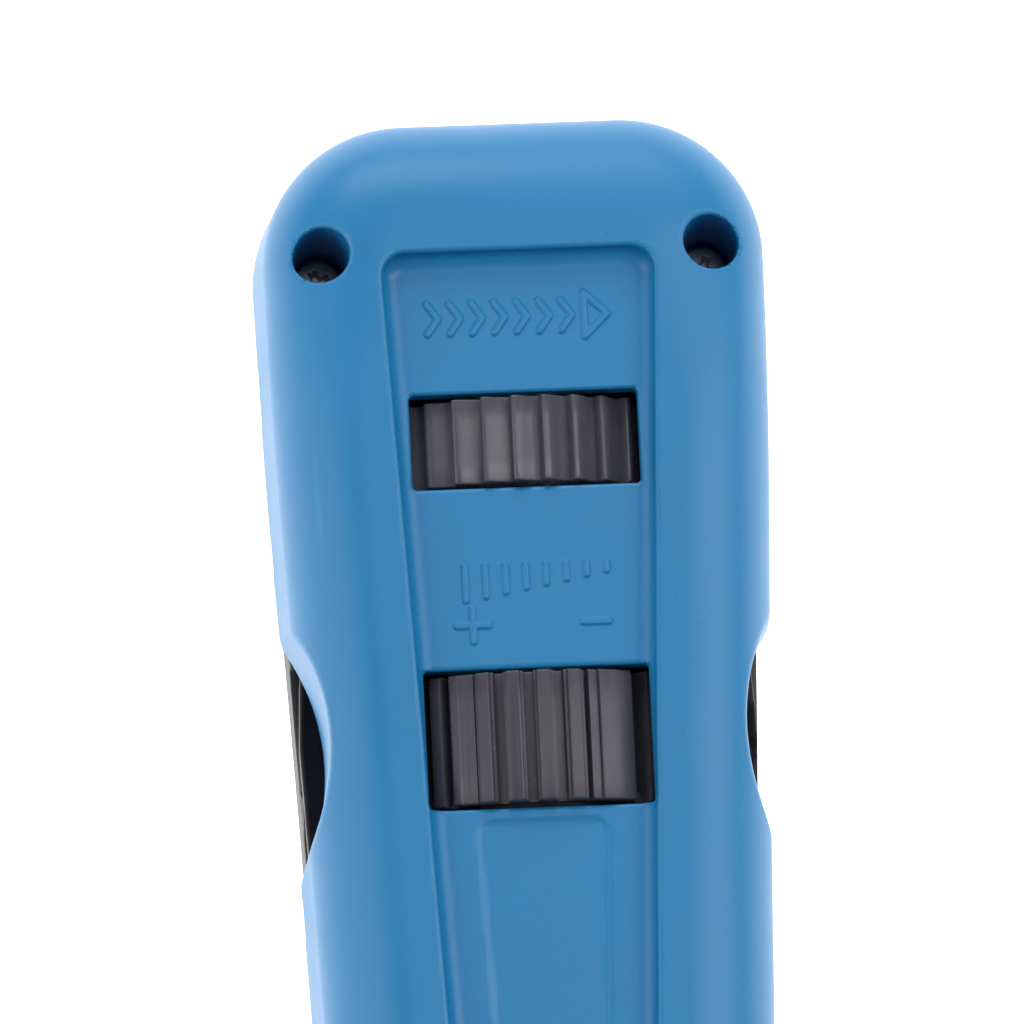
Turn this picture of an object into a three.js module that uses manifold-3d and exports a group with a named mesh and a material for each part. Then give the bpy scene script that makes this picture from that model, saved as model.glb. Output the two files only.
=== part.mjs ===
// An impact punch down tool, lying on its back: +X right, +Y towards the nose, +Z out of the front face.
// Two moulded shells hold a spring-driven hammer, a blade chuck with its release wheel, an impact
// adjusting knob, a fold-out hook and spudger in the sides, and a hinged cap over the blade store.
import * as THREE from "three";
import { mergeVertices } from "three/addons/utils/BufferGeometryUtils.js";
import Module from "manifold-3d";

const wasm = await Module();
wasm.setup();

// ---- Driving dimensions, in millimetres ----

// Body
const LENGTH = 137.6;
const NOSE_Y = LENGTH / 2;
const TAIL_Y = -NOSE_Y;
const HALF_WIDTH = 18;
const FRONT_Z = 28.6;
const PARTING_Z = 14.2; // underside of the front shell
const SHELL_GAP = 0.3; // between the two shells' rims
const WALL = 2;
// Each side: its flat face, its rim, how far the rim stands in from the outline, how far the
// wall leans in up to its fillet, and the fillet. The rear half is a little narrower.
const FRONT = { faceZ: FRONT_Z, rimZ: PARTING_Z, inset: 0, draft: 0.45, radius: 6.2 };
const REAR = { faceZ: 0, rimZ: PARTING_Z - SHELL_GAP, inset: 0.6, draft: 0.1, radius: 3.4 };
const NOSE_EDGE_FACTOR = 1.35; // the nose edge is rounder than the sides
const NOSE_CORNER = { x: 10.5, y: 10.3 };
const TAIL_CORNER = 9;
// Half-widths down the side, nose to tail: wide at the nose, a waist for the hand, a fuller tail.
const SIDE = [
  [18, 58.5],
  [17.62, 44],
  [16.95, 29],
  [16.3, 13],
  [15.75, -4],
  [15.5, -18],
  [15.8, -34],
  [16.7, -49],
  [17.2, -59.8],
];

// Recessed centre panel of the front face
const RECESS = { floorZ: 27, topY: 58, endY: -46, topHalf: 9.4, endHalf: 4.85, corner: 1.7 };
const RELEASE_WINDOW = { width: 15.85, height: 6.65, y: 44.9 };
const KNOB_WINDOW = { width: 15.6, height: 9.7, y: 23.95 };
const WINDOW_CORNER = 0.25;

// Finger scoops in the sides of the front shell
const SCOOP = { y: 24.3, depth: 2.35, radius: 16, wall: 1.2 };

// Mechanism, all turned about one axis along Y
const AXIS_Z = 15.5;
const RUN = 0.3; // running and seating gap
const CHUCK = { noseY: 67.4, shoulderY: 49.5, radius: 4.6, socket: 3.3, socketDepth: 15.8 };
const STEM = { radius: 2.4, endY: 15, tipRadius: 1.3, tipY: 12.4 };
const BUSHING = { frontY: 68.4, backY: 61.2, radius: 6.1, bore: 4.9, flangeRadius: 7.6, flangeY: 64.6 };
const LOCK_PIN = { y: 56, radius: 0.9, low: 2.7, high: 5.3 };
const CLIP = { y: 60, radius: 5.7, thick: 0.9 };
const SLEEVE = { frontY: 58, backY: 40.2, inner: 6.1, outer: 7.1 };
const RELEASE_WHEEL = { y: 44.9, length: 6, radius: 12.3, teeth: 36, toothDepth: 0.75 };
const TOOTH_PHASE = (5.1 * Math.PI) / 180; // how far the wheel is turned at rest
const KNOB = { y: 23.95, length: 9.1, radius: 12.8, sectors: 5 };
// The knob's rim, per sector: a ridge, a hump, evenly spaced ribs and a smooth land, in degrees.
const KNOB_RIDGE = { from: -35.3, to: -31.4 };
const KNOB_HUMP = { from: -28.4, to: -20 };
const KNOB_RIBS = { first: -17.5, pitch: 9.6, count: 4, half: 2.1 };
const KNOB_LAND = { from: 19.6, to: 31 };
const KNOB_GROOVE = 0.5;
const KNOB_GAPS = [{ from: 32, to: 36.2, depth: 1.6 }, { from: 40.9, to: 43.3, depth: 1.2 }];
const TUBE = { frontY: 29.8, backY: -30, inner: 6.4, outer: 7.6 };
const HAMMER = { frontY: 14, backY: -2.4, radius: 6.1, bore: 1.7 };
const TRIP = { y: 10.4, thick: 2.6, width: 5, low: -5, high: 3.1, offset: 0.9 };
const SEAT = { faceY: -27, backY: -28.6, radius: 6.1, keyHalf: 1.6, spigot: 3.2 };
const PLUG = { frontY: -34.6, backY: -38.6, radius: 8.2, bore: 2 };
const RAMP = { inner: 3, outer: 5.8, span: (40 * Math.PI) / 180 };
const DETENT = { drop: 10.4, ballY: 18.3, radius: 1.2, bore: 1.4 };
const KNOB_TURN = Math.PI / 4;
const CAM_LEAD = 2.5 / KNOB_TURN; // mm of seat travel per radian of knob
// Room left round the springs and behind the plug.
const ROOM = { returnSpringY: 33.6, wheel: 0.5, plugFrontY: -31.2, behindPlug: 3, behindPlugY: -47 };
const RELEASE_SPRING_ROOM = { radius: 9, tailY: 48.8, noseY: 57.4 };

// Fold-out tools in the sides
const LEAF = { low: 11.7, thick: 2, tipY: 32, innerX: 13.9, inset: 0.75 };
const SPUDGER_TIP = [[15.9, 29.6], [15.5, 31.6], [15, LEAF.tipY], [14.2, 31.2], [13.9, 29]];
const HOOK_TIP = [[15.9, 30.4], [15.4, LEAF.tipY], [14.3, LEAF.tipY], [13.9, 31.4]];
const HOOK_NOTCH = { y: 29.6, radius: 0.95 };
const PIVOT = { x: 11.9, y: -32, eye: 3.6, pin: 1.4, pinLow: 8.3, pinHigh: 3.1, boss: 3, bossHigh: 5 };
const WASHER = { lift: 0.12, thick: 0.22, inner: 1.7, outer: 3.2 };
// Ledges over the leaves on the front shell and shelves under them on the rear shell.
const LEDGE = { inner: 3.4, tailY: -38, noseY: 18, high: 2.4 };
const SHELF = { inner: 5.4, tailY: -41, pastTip: 2.4, thick: 2.6 };
const LEAF_OPEN = (120 * Math.PI) / 180;

// Fasteners
const NOSE_SCREW = { x: 13.52, y: 58.3, seatZ: 16.8 };
const TAIL_SCREW = { x: 12.2, y: -50, seatZ: 16.8 };
const SCREW = { head: 1.75, headHigh: 1.5, shank: 1.05, length: 12, counterbore: 1.95, boss: 3.1 };

// Tail cap
const CAP = { splitY: -62, hingeY: -61, hingeZ: 1.9, knuckle: 1.45, pin: 0.75, knuckleHalf: 8 };
const HINGE = { shellKnuckleEnd: 11.4, pinEnd: 11.2, armHalf: 1.2, armLength: 3, roomHalf: 11.7 };
const TONGUE = { half: 4, low: 24.2, high: 25.7, reach: 4, root: 5 };

const ROUND = 24; // facets of a large turned surface
const FINE = 14; // facets of a small one
const OVER = 5; // how far a cutting tool passes its face

// ---- Colours ----

const plastic = (color) => ({ color, roughness: 0.5, metalness: 0 });
const metal = (color, roughness) => ({ color, roughness, metalness: 1 });
const BLUE = plastic(0x3c87c0);
const BLACK = plastic(0x1b1c20);
const GREY = plastic(0x5d5c66);
const DARK_GREY = plastic(0x68666f);
const STEEL = metal(0xb4b6ba, 0.3);
const BLACKENED = metal(0x2b2e33, 0.35);
const SPRING_STEEL = metal(0x9a9ca0, 0.25);
const BRASS = metal(0xb8924a, 0.35);

// ---- Solids from three.js geometries ----

// A closed three.js geometry as a solid that can be joined and cut.
function solid(geometry) {
  const bare = geometry.clone();
  bare.deleteAttribute("normal");
  bare.deleteAttribute("uv");
  const merged = mergeVertices(bare, 1e-4);
  const corners = [];
  const index = merged.index.array;
  for (let i = 0; i < index.length; i += 3) {
    const [a, b, c] = index.slice(i, i + 3);
    if (a !== b && b !== c && c !== a) corners.push(a, b, c);
  }
  return new wasm.Manifold(
    new wasm.Mesh({
      numProp: 3,
      vertProperties: merged.attributes.position.array,
      triVerts: new Uint32Array(corners),
    }),
  );
}

// A solid back as a three.js geometry.
function geometryOf(body) {
  const mesh = body.getMesh();
  const geometry = new THREE.BufferGeometry();
  geometry.setAttribute("position", new THREE.BufferAttribute(mesh.vertProperties, 3));
  geometry.setIndex(new THREE.BufferAttribute(mesh.triVerts, 1));
  return geometry;
}

const joined = (first, ...rest) => rest.reduce((sum, next) => sum.add(next), first);
const cut = (first, ...rest) => rest.reduce((left, next) => left.subtract(next), first);

// Box between two corners.
function block([x0, y0, z0], [x1, y1, z1]) {
  const geometry = new THREE.BoxGeometry(x1 - x0, y1 - y0, z1 - z0);
  geometry.translate((x0 + x1) / 2, (y0 + y1) / 2, (z0 + z1) / 2);
  return solid(geometry);
}

// Turned about the mechanism axis: profile points are [radius, y], from tail to nose up the outside.
function turned(profile, facets = ROUND) {
  const points = profile.map(([radius, y]) => new THREE.Vector2(radius, y));
  const geometry = new THREE.LatheGeometry(points, facets);
  geometry.translate(0, 0, AXIS_Z);
  return solid(geometry);
}

const rod = (radius, y0, y1, facets = ROUND) =>
  turned([[0, y0], [radius, y0], [radius, y1], [0, y1]], facets);

const ring = (inner, outer, y0, y1, facets = ROUND) =>
  turned([[inner, y0], [outer, y0], [outer, y1], [inner, y1], [inner, y0]], facets);

// Upright cylinder.
function post(x, y, radius, z0, z1, facets = FINE) {
  const geometry = new THREE.CylinderGeometry(radius, radius, z1 - z0, facets);
  geometry.rotateX(Math.PI / 2);
  geometry.translate(x, y, (z0 + z1) / 2);
  return solid(geometry);
}

// Cylinder along X.
function crossRod(radius, x0, x1, y, z, facets = FINE) {
  const geometry = new THREE.CylinderGeometry(radius, radius, x1 - x0, facets);
  geometry.rotateZ(Math.PI / 2);
  geometry.translate((x0 + x1) / 2, y, z);
  return solid(geometry);
}

// Plan outline raised from z0 to z1.
function raised(shape, z0, z1, curveSegments = 8) {
  const geometry = new THREE.ExtrudeGeometry(shape, {
    depth: z1 - z0,
    bevelEnabled: false,
    curveSegments,
  });
  geometry.translate(0, 0, z0);
  return solid(geometry);
}

// Cross-section outline (x, and height over the axis) drawn out along Y.
function drawn(shape, y0, y1) {
  const geometry = new THREE.ExtrudeGeometry(shape, { depth: y1 - y0, bevelEnabled: false });
  geometry.rotateX(Math.PI / 2);
  geometry.translate(0, y1, AXIS_Z);
  return solid(geometry);
}

function polygon(points) {
  return new THREE.Shape(points.map(([x, y]) => new THREE.Vector2(x, y)));
}

// Rectangle with round corners, centred on (0, y).
function roundedRectangle(width, height, y, corner) {
  const shape = new THREE.Shape();
  const x = width / 2 - corner;
  const low = y - height / 2 + corner;
  const high = y + height / 2 - corner;
  shape.absarc(x, low, corner, -Math.PI / 2, 0);
  shape.absarc(x, high, corner, 0, Math.PI / 2);
  shape.absarc(-x, high, corner, Math.PI / 2, Math.PI);
  shape.absarc(-x, low, corner, Math.PI, 1.5 * Math.PI);
  return shape;
}

// Coil spring along Y on the mechanism axis, dropped below it, or standing upright at (0, y).
function coil({ radius, wire, from, to, turns, steps = 11, sides = 5, drop = 0, uprightAt = null }) {
  const path = new THREE.Curve();
  path.getPoint = (t) => {
    const angle = 2 * Math.PI * turns * t;
    const [a, b] = [radius * Math.cos(angle), radius * Math.sin(angle)];
    const along = from + (to - from) * t;
    if (uprightAt !== null) return new THREE.Vector3(a, uprightAt + b, along);
    return new THREE.Vector3(a, along, AXIS_Z - drop + b);
  };
  const section = polygon(
    Array.from({ length: sides }, (_, k) => {
      const angle = (2 * Math.PI * k) / sides;
      return [(wire / 2) * Math.cos(angle), (wire / 2) * Math.sin(angle)];
    }),
  );
  return solid(
    new THREE.ExtrudeGeometry(section, {
      extrudePath: path,
      steps: Math.round(turns * steps),
      bevelEnabled: false,
    }),
  );
}

// Block bent round the mechanism axis between two angles from +Z; low and high give its ends along Y.
function bentBlock({ inner, outer, from, to, low, high, facets = 12 }) {
  const geometry = new THREE.BoxGeometry(1, 1, 1, facets, 1, 1);
  const position = geometry.attributes.position;
  for (let v = 0; v < position.count; v++) {
    const angle = from + (to - from) * (position.getX(v) + 0.5);
    const radius = position.getZ(v) > 0 ? outer : inner;
    const y = position.getY(v) > 0 ? high(angle - from) : low(angle - from);
    position.setXYZ(v, radius * Math.sin(angle), y, AXIS_Z + radius * Math.cos(angle));
  }
  return solid(geometry);
}

const mirrored = (point) => [-point[0], point[1]];

// ---- Body outline ----

// The plan outline at the parting plane, anticlockwise from the middle of the tail.
function bodyOutline() {
  const side = SIDE.map(([x, y]) => new THREE.Vector2(x, y));
  const otherSide = SIDE.map(mirrored).map(([x, y]) => new THREE.Vector2(x, y));
  const [widest, narrowest] = [side[0], side[side.length - 1]];
  const shape = new THREE.Shape();
  shape.moveTo(0, TAIL_Y);
  shape.lineTo(narrowest.x - TAIL_CORNER, TAIL_Y);
  shape.absarc(narrowest.x - TAIL_CORNER, narrowest.y, TAIL_CORNER, -Math.PI / 2, 0);
  shape.splineThru([...side].reverse().slice(1));
  const noseX = widest.x - NOSE_CORNER.x;
  shape.absellipse(noseX, widest.y, NOSE_CORNER.x, NOSE_CORNER.y, 0, Math.PI / 2);
  shape.lineTo(-noseX, NOSE_Y);
  shape.absellipse(-noseX, widest.y, NOSE_CORNER.x, NOSE_CORNER.y, Math.PI / 2, Math.PI);
  shape.splineThru(otherSide.slice(1));
  shape.absarc(-(narrowest.x - TAIL_CORNER), narrowest.y, TAIL_CORNER, Math.PI, 1.5 * Math.PI);
  shape.lineTo(0, TAIL_Y);
  return shape;
}

// Stations round the outline, each with its point and its inward direction.
const FACETS = { LineCurve: 2, EllipseCurve: 6, SplineCurve: 9 };
const stations = bodyOutline()
  .curves.filter((curve) => curve.getLength() > 0.01)
  .flatMap((curve) =>
    Array.from({ length: FACETS[curve.type] }, (_, k) => {
      const tangent = curve.getTangent(k / FACETS[curve.type]);
      return {
        point: curve.getPoint(k / FACETS[curve.type]),
        inward: new THREE.Vector2(-tangent.y, tangent.x),
      };
    }),
  );

// Half the body's width at the parting plane, at a station along Y.
function halfWidthAt(y) {
  const side = new THREE.SplineCurve(SIDE.map(([x, sideY]) => new THREE.Vector2(x, sideY)));
  const points = side.getPoints(200);
  return points.reduce((best, p) => (Math.abs(p.y - y) < Math.abs(best.y - y) ? p : best)).x;
}

// Cushion-shaped solid: the body outline stacked in levels, each drawn in by its inset.
// A turned shell of as many facets is bent onto the outline, so the caps close by themselves.
function cushion(levels) {
  const profile = [levels[0], ...levels, levels[levels.length - 1]];
  const points = profile.map((level, j) => {
    const onAxis = j === 0 || j === profile.length - 1;
    return new THREE.Vector2(onAxis ? 0 : 1, level.z);
  });
  const geometry = new THREE.LatheGeometry(points, stations.length);
  const position = geometry.attributes.position;
  for (let v = 0; v < position.count; v++) {
    const { point, inward } = stations[Math.floor(v / profile.length) % stations.length];
    const j = v % profile.length;
    if (points[j].x === 0) {
      position.setXYZ(v, 0, 0, profile[j].z);
      continue;
    }
    const nose = THREE.MathUtils.smoothstep(point.y, 52, 66);
    const inset = profile[j].inset * (1 + (NOSE_EDGE_FACTOR - 1) * nose) + profile[j].wall;
    const at = point.clone().addScaledVector(inward, inset);
    position.setXYZ(v, at.x, at.y, profile[j].z);
  }
  return solid(geometry);
}

// Levels of one side of the body from its rim to its flat face, drawn in by a wall.
function faceLevels(side, rimZ, wall) {
  const rise = Math.sign(side.faceZ - side.rimZ);
  const radius = side.radius - wall;
  const springZ = side.faceZ - rise * side.radius;
  const levels = [{ z: rimZ, inset: side.inset, wall }];
  const arcSteps = 4;
  for (let k = 0; k <= arcSteps; k++) {
    const angle = (Math.PI / 2) * (k / arcSteps);
    levels.push({
      z: springZ + rise * radius * Math.sin(angle),
      inset: side.inset + side.draft + radius * (1 - Math.cos(angle)),
      wall,
    });
  }
  return levels;
}

const frontLevels = (rimZ, wall) => faceLevels(FRONT, rimZ, wall);
const rearLevels = (rimZ, wall) => faceLevels(REAR, rimZ, wall).reverse();

// ---- Hollows and supports shared by the two shells ----

// Room for a thumb wheel, as long as its window is high, so that only the window shows.
const wheelRoom = ({ y, radius }, { height }) =>
  rod(radius + ROOM.wheel, y - height / 2, y + height / 2);

// Everything that the mechanism needs clear, turned about its axis.
function mechanismRoom() {
  return joined(
    rod(BUSHING.radius + RUN, BUSHING.backY - RUN, NOSE_Y + OVER),
    rod(BUSHING.flangeRadius + RUN, BUSHING.backY - RUN, BUSHING.flangeY + RUN),
    rod(SLEEVE.outer + RUN, ROOM.returnSpringY, BUSHING.backY),
    rod(RELEASE_SPRING_ROOM.radius, RELEASE_SPRING_ROOM.tailY, RELEASE_SPRING_ROOM.noseY),
    wheelRoom(RELEASE_WHEEL, RELEASE_WINDOW),
    wheelRoom(KNOB, KNOB_WINDOW),
    rod(STEM.radius + RUN, TUBE.frontY, ROOM.returnSpringY + 2 * RUN),
    rod(TUBE.outer + RUN, PLUG.frontY, TUBE.frontY + RUN),
    rod(PLUG.radius + RUN, PLUG.backY - RUN, ROOM.plugFrontY),
    rod(ROOM.behindPlug, ROOM.behindPlugY, PLUG.backY),
  );
}

// Cross walls that cradle the mechanism, as slabs [tail side, nose side] along Y.
const CRADLES = [
  [64.9, 67.5],
  [58.4, 60.9],
  [38, 41],
  [30.4, 33.4],
  [16.6, 18.3],
  [11, 12.6],
  [-22, -20.2],
  [-32.8, -31.2],
  [-40.6, -38.9],
];

const cradleWalls = () =>
  CRADLES.map(([y0, y1]) => block([-HALF_WIDTH, y0, -1], [HALF_WIDTH, y1, FRONT_Z + 1]));

// The tail end of the shells, taken by the cap.
const tailEnd = () =>
  block([-30, TAIL_Y - 1, -1], [30, CAP.splitY + SHELL_GAP, FRONT_Z + 1]);

const screwPlaces = [NOSE_SCREW, TAIL_SCREW].flatMap((place) => [
  { ...place, x: -place.x },
  { ...place },
]);

const pivotPlaces = [-PIVOT.x, PIVOT.x];

// ---- Front shell ----

function recessShape() {
  const { topY, endY, topHalf, endHalf, corner } = RECESS;
  const shape = new THREE.Shape();
  shape.absarc(topHalf - corner, topY - corner, corner, 0, Math.PI / 2);
  shape.absarc(corner - topHalf, topY - corner, corner, Math.PI / 2, Math.PI);
  shape.absarc(0, endY + endHalf, endHalf, Math.PI, 2 * Math.PI);
  return shape;
}

// Scoops as upright cylinders standing outside the body, grown by a wall for the supports inside.
function scoops(wall) {
  const centreX = halfWidthAt(SCOOP.y) - SCOOP.depth + SCOOP.radius;
  const radius = SCOOP.radius + wall;
  return [-centreX, centreX].map((x) =>
    post(x, SCOOP.y, radius, PARTING_Z - 1, FRONT_Z + 1, 48),
  );
}

function frontShell() {
  const outer = cushion(frontLevels(PARTING_Z, 0));
  const hollow = cut(cushion(frontLevels(PARTING_Z - 1, WALL)), ...scoops(SCOOP.wall));
  const underPanel = raised(recessShape(), RECESS.floorZ - WALL, FRONT_Z, 6);
  const ledges = [-1, 1].map((side) =>
    block(
      [side > 0 ? PIVOT.x - LEDGE.inner : -HALF_WIDTH, LEDGE.tailY, PARTING_Z],
      [side > 0 ? HALF_WIDTH : LEDGE.inner - PIVOT.x, LEDGE.noseY, PARTING_Z + LEDGE.high],
    ),
  );
  const bosses = screwPlaces.map(({ x, y }) => post(x, y, SCREW.boss, PARTING_Z, FRONT_Z));
  const pivots = pivotPlaces.map((x) => post(x, PIVOT.y, PIVOT.boss, PARTING_Z, PARTING_Z + PIVOT.bossHigh));
  const inside = joined(underPanel, ...cradleWalls(), ...ledges, ...bosses, ...pivots);
  const windows = [RELEASE_WINDOW, KNOB_WINDOW].map(({ width, height, y }) =>
    raised(roundedRectangle(width, height, y, WINDOW_CORNER), AXIS_Z, FRONT_Z + 1, 3),
  );
  const screwHoles = screwPlaces.flatMap(({ x, y, seatZ }) => [
    post(x, y, SCREW.counterbore, seatZ, FRONT_Z + 1),
    post(x, y, SCREW.shank + 0.15, PARTING_Z - 1, seatZ + 1),
  ]);
  const pinHoles = pivotPlaces.map((x) =>
    post(x, PIVOT.y, PIVOT.pin + 0.1, PARTING_Z - 1, PARTING_Z + PIVOT.pinHigh + RUN),
  );
  const walls = cut(outer, hollow);
  return cut(
    joined(walls, inside.intersect(outer)),
    mechanismRoom(),
    raised(recessShape(), RECESS.floorZ, FRONT_Z + 1, 6),
    ...windows,
    ...scoops(0),
    ...screwHoles,
    ...pinHoles,
    tailEnd(),
  );
}

// ---- Rear shell ----

// Room for one fold-out leaf and its swing, on the right; mirrored for the left.
function leafRoom(side) {
  const back = new THREE.Vector2(Math.sin(LEAF_OPEN), Math.cos(LEAF_OPEN));
  const eye = PIVOT.eye + RUN;
  const tangent = [PIVOT.x - eye * -back.y, PIVOT.y - eye * back.x];
  const reach = 9;
  const innerX = LEAF.innerX - RUN;
  const points = [
    [innerX, LEAF.tipY + RUN + 0.1],
    [innerX, 17.5],
    [9.2, 10],
    [PIVOT.x - eye, PIVOT.y],
    [PIVOT.x - eye * 0.87, PIVOT.y - eye * 0.5],
    tangent,
    [tangent[0] + reach * back.x, tangent[1] + reach * back.y],
    [HALF_WIDTH + 4, tangent[1] + reach * back.y],
    [HALF_WIDTH + 4, LEAF.tipY + RUN + 0.1],
  ];
  const placed = side > 0 ? points : points.map(mirrored).reverse();
  return raised(polygon(placed), LEAF.low - RUN, PARTING_Z + 1);
}

function rearShell() {
  const outer = cushion(rearLevels(REAR.rimZ, 0));
  const hollow = cushion(rearLevels(REAR.rimZ + 1, WALL));
  const shelves = [-1, 1].map((side) =>
    block(
      [side > 0 ? PIVOT.x - SHELF.inner : -HALF_WIDTH, SHELF.tailY, LEAF.low - SHELF.thick],
      [side > 0 ? HALF_WIDTH : SHELF.inner - PIVOT.x, LEAF.tipY + SHELF.pastTip, REAR.rimZ],
    ),
  );
  const bosses = screwPlaces.map(({ x, y }) => post(x, y, SCREW.boss, 1, REAR.rimZ));
  const pivots = pivotPlaces.map((x) => post(x, PIVOT.y, PIVOT.boss, 1, LEAF.low));
  const detentBoss = block([-3, 11.6, 1], [3, 18.3, AXIS_Z - TUBE.outer]);
  const inside = joined(...cradleWalls(), ...shelves, ...bosses, ...pivots, detentBoss);
  const pilots = screwPlaces.map(({ x, y }) => post(x, y, SCREW.shank + 0.1, 4.6, PARTING_Z));
  const pinHoles = pivotPlaces.map((x) => post(x, PIVOT.y, PIVOT.pin + 0.1, PIVOT.pinLow - RUN, PARTING_Z));
  const { splitY, hingeY, hingeZ, knuckle, knuckleHalf } = CAP;
  const { shellKnuckleEnd, armHalf, armLength, roomHalf } = HINGE;
  const hingeRoom = block([-roomHalf, splitY - 0.8, -1], [roomHalf, hingeY + 2.3, hingeZ + 2.3]);
  const knuckles = [-1, 1].map((side) => {
    const ends = [knuckleHalf + 0.35, shellKnuckleEnd].map((x) => side * x);
    const [x0, x1] = ends.sort((a, b) => a - b);
    return joined(
      crossRod(knuckle, x0, x1, hingeY, hingeZ),
      block([x0, hingeY, hingeZ - armHalf], [x1, hingeY + armLength, hingeZ + armHalf]),
    );
  });
  const tub = cut(
    joined(cut(outer, hollow), inside.intersect(outer)),
    mechanismRoom(),
    leafRoom(1),
    leafRoom(-1),
    ...pilots,
    ...pinHoles,
    hingeRoom,
    tailEnd(),
    detentRoom(),
  );
  return cut(joined(tub, ...knuckles), crossRod(CAP.pin + 0.1, -13, 13, hingeY, hingeZ));
}

// ---- Screws ----

// Pan-head screw, head up, with a cross recess in its head.
function screw({ x, y, seatZ }) {
  const { head, headHigh, shank, length } = SCREW;
  const foot = seatZ - length + headHigh;
  const profile = [
    [0, foot - 0.6],
    [shank * 0.5, foot],
    [shank, foot + 0.8],
    [shank, seatZ + 0.1],
    [head, seatZ + 0.1],
    [head, seatZ + 0.8],
    [head * 0.72, seatZ + headHigh * 0.9],
    [0, seatZ + headHigh],
  ].map(([radius, z]) => new THREE.Vector2(radius, z));
  const body = new THREE.LatheGeometry(profile, FINE);
  body.rotateX(Math.PI / 2);
  body.translate(x, y, 0);
  const slots = [
    block([x - 0.95, y - 0.22, seatZ + 0.7], [x + 0.95, y + 0.22, seatZ + OVER]),
    block([x - 0.22, y - 0.95, seatZ + 0.7], [x + 0.22, y + 0.95, seatZ + OVER]),
  ];
  return cut(solid(body), ...slots);
}

// ---- Blade chuck and its release ----

function noseBushing() {
  const { frontY, backY, radius, bore, flangeRadius, flangeY } = BUSHING;
  return turned([
    [bore, backY],
    [flangeRadius, backY],
    [flangeRadius, flangeY],
    [radius, flangeY],
    [radius, frontY - 0.5],
    [radius - 0.5, frontY],
    [bore + 0.4, frontY],
    [bore, frontY - 0.4],
    [bore, backY],
  ]);
}

function bladeChuck() {
  const { noseY, shoulderY, radius, socket, socketDepth } = CHUCK;
  const body = turned([
    [0, STEM.tipY],
    [STEM.tipRadius, STEM.tipY],
    [STEM.tipRadius, STEM.endY],
    [STEM.radius, STEM.endY],
    [STEM.radius, shoulderY],
    [radius, shoulderY],
    [radius, noseY - 0.5],
    [radius - 0.5, noseY],
    [0, noseY],
  ]);
  const bladeSocket = rod(socket, noseY - socketDepth, noseY + 1, 24);
  const tabSlot = block([-1.1, noseY - 5, AXIS_Z - 4], [1.1, noseY + 1, AXIS_Z + 4]);
  const clipGroove = ring(4.15, radius + 1, CLIP.y - 0.6, CLIP.y + 0.6, FINE);
  const pinHole = post(0, LOCK_PIN.y, LOCK_PIN.radius + 0.12, AXIS_Z, AXIS_Z + 7);
  return cut(body, bladeSocket, tabSlot, clipGroove, pinHole);
}

// Radial pin that holds the blade; the release wheel draws it out.
const lockPin = () =>
  post(0, LOCK_PIN.y, LOCK_PIN.radius, AXIS_Z + LOCK_PIN.low, AXIS_Z + LOCK_PIN.high, 16);

// Open ring clipped round the chuck, which stops it at the bushing.
function chuckClip() {
  const whole = ring(4.3, CLIP.radius, CLIP.y - CLIP.thick / 2, CLIP.y + CLIP.thick / 2, 28);
  return cut(whole, block([-1.6, CLIP.y - 2, AXIS_Z - 8], [1.6, CLIP.y + 2, AXIS_Z - 3]));
}

// Sleeve keyed inside the release wheel; its key stands in the wheel's bore.
function lockSleeve() {
  const tube = ring(SLEEVE.inner, SLEEVE.outer, SLEEVE.backY, SLEEVE.frontY);
  const key = block(
    [-1, RELEASE_WHEEL.y - 2.8, AXIS_Z - SLEEVE.outer - 1.1],
    [1, RELEASE_WHEEL.y + 2.8, AXIS_Z - SLEEVE.outer + 0.5],
  );
  return joined(tube, key);
}

// Saw-toothed thumb wheel. Each tooth is highest at its -X edge and falls away towards +X.
function releaseWheel() {
  const { y, length, radius, teeth, toothDepth } = RELEASE_WHEEL;
  const points = [];
  for (let k = 0; k < teeth; k++) {
    const start = (2 * Math.PI * k) / teeth + TOOTH_PHASE;
    const pitch = (2 * Math.PI) / teeth;
    const corners = [
      [0.0, radius - toothDepth],
      [0.08, radius - 0.1],
      [0.2, radius],
      [0.55, radius - toothDepth * 0.45],
    ];
    for (const [share, r] of corners) {
      const angle = start + share * pitch;
      points.push([r * Math.sin(angle), r * Math.cos(angle)]);
    }
  }
  const rim = drawn(polygon(points.reverse()), y - length / 2, y + length / 2);
  const keyway = block([-1.25, y - OVER, AXIS_Z - 8.7], [1.25, y + OVER, AXIS_Z]);
  return cut(rim, rod(SLEEVE.outer + 0.15, y - OVER, y + OVER), keyway);
}

// Torsion spring that turns the release wheel back.
const releaseSpring = () => coil({ radius: 8.1, wire: 0.8, from: 49.5, to: 54.6, turns: 4 });

// Coil that pushes the chuck forward again after a stroke.
const returnSpring = () =>
  coil({ radius: 3.5, wire: 0.7, from: 34.1, to: CHUCK.shoulderY - 0.7, turns: 6 });

// ---- Impact mechanism ----

function hammer() {
  const { frontY, backY, radius, bore } = HAMMER;
  const body = turned([
    [bore, backY],
    [3.4, backY],
    [radius, backY + 1.2],
    [radius, frontY - 0.6],
    [radius - 0.6, frontY],
    [bore, frontY],
    [bore, backY],
  ]);
  const slot = block(
    [-TRIP.width / 2 - 0.15, TRIP.y - TRIP.thick / 2 - 0.15, AXIS_Z - 8],
    [TRIP.width / 2 + 0.15, TRIP.y + TRIP.thick / 2 + 0.15, AXIS_Z + 5.2],
  );
  return cut(body, slot);
}

// Block that catches the chuck's tip until it is pushed into line.
function tripBlock() {
  const slab = block(
    [-TRIP.width / 2, TRIP.y - TRIP.thick / 2, AXIS_Z + TRIP.low],
    [TRIP.width / 2, TRIP.y + TRIP.thick / 2, AXIS_Z + TRIP.high],
  );
  const hole = new THREE.CylinderGeometry(1.55, 1.55, 2 * OVER, FINE);
  hole.translate(0, TRIP.y, AXIS_Z - TRIP.offset);
  return cut(slab, solid(hole));
}

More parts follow.
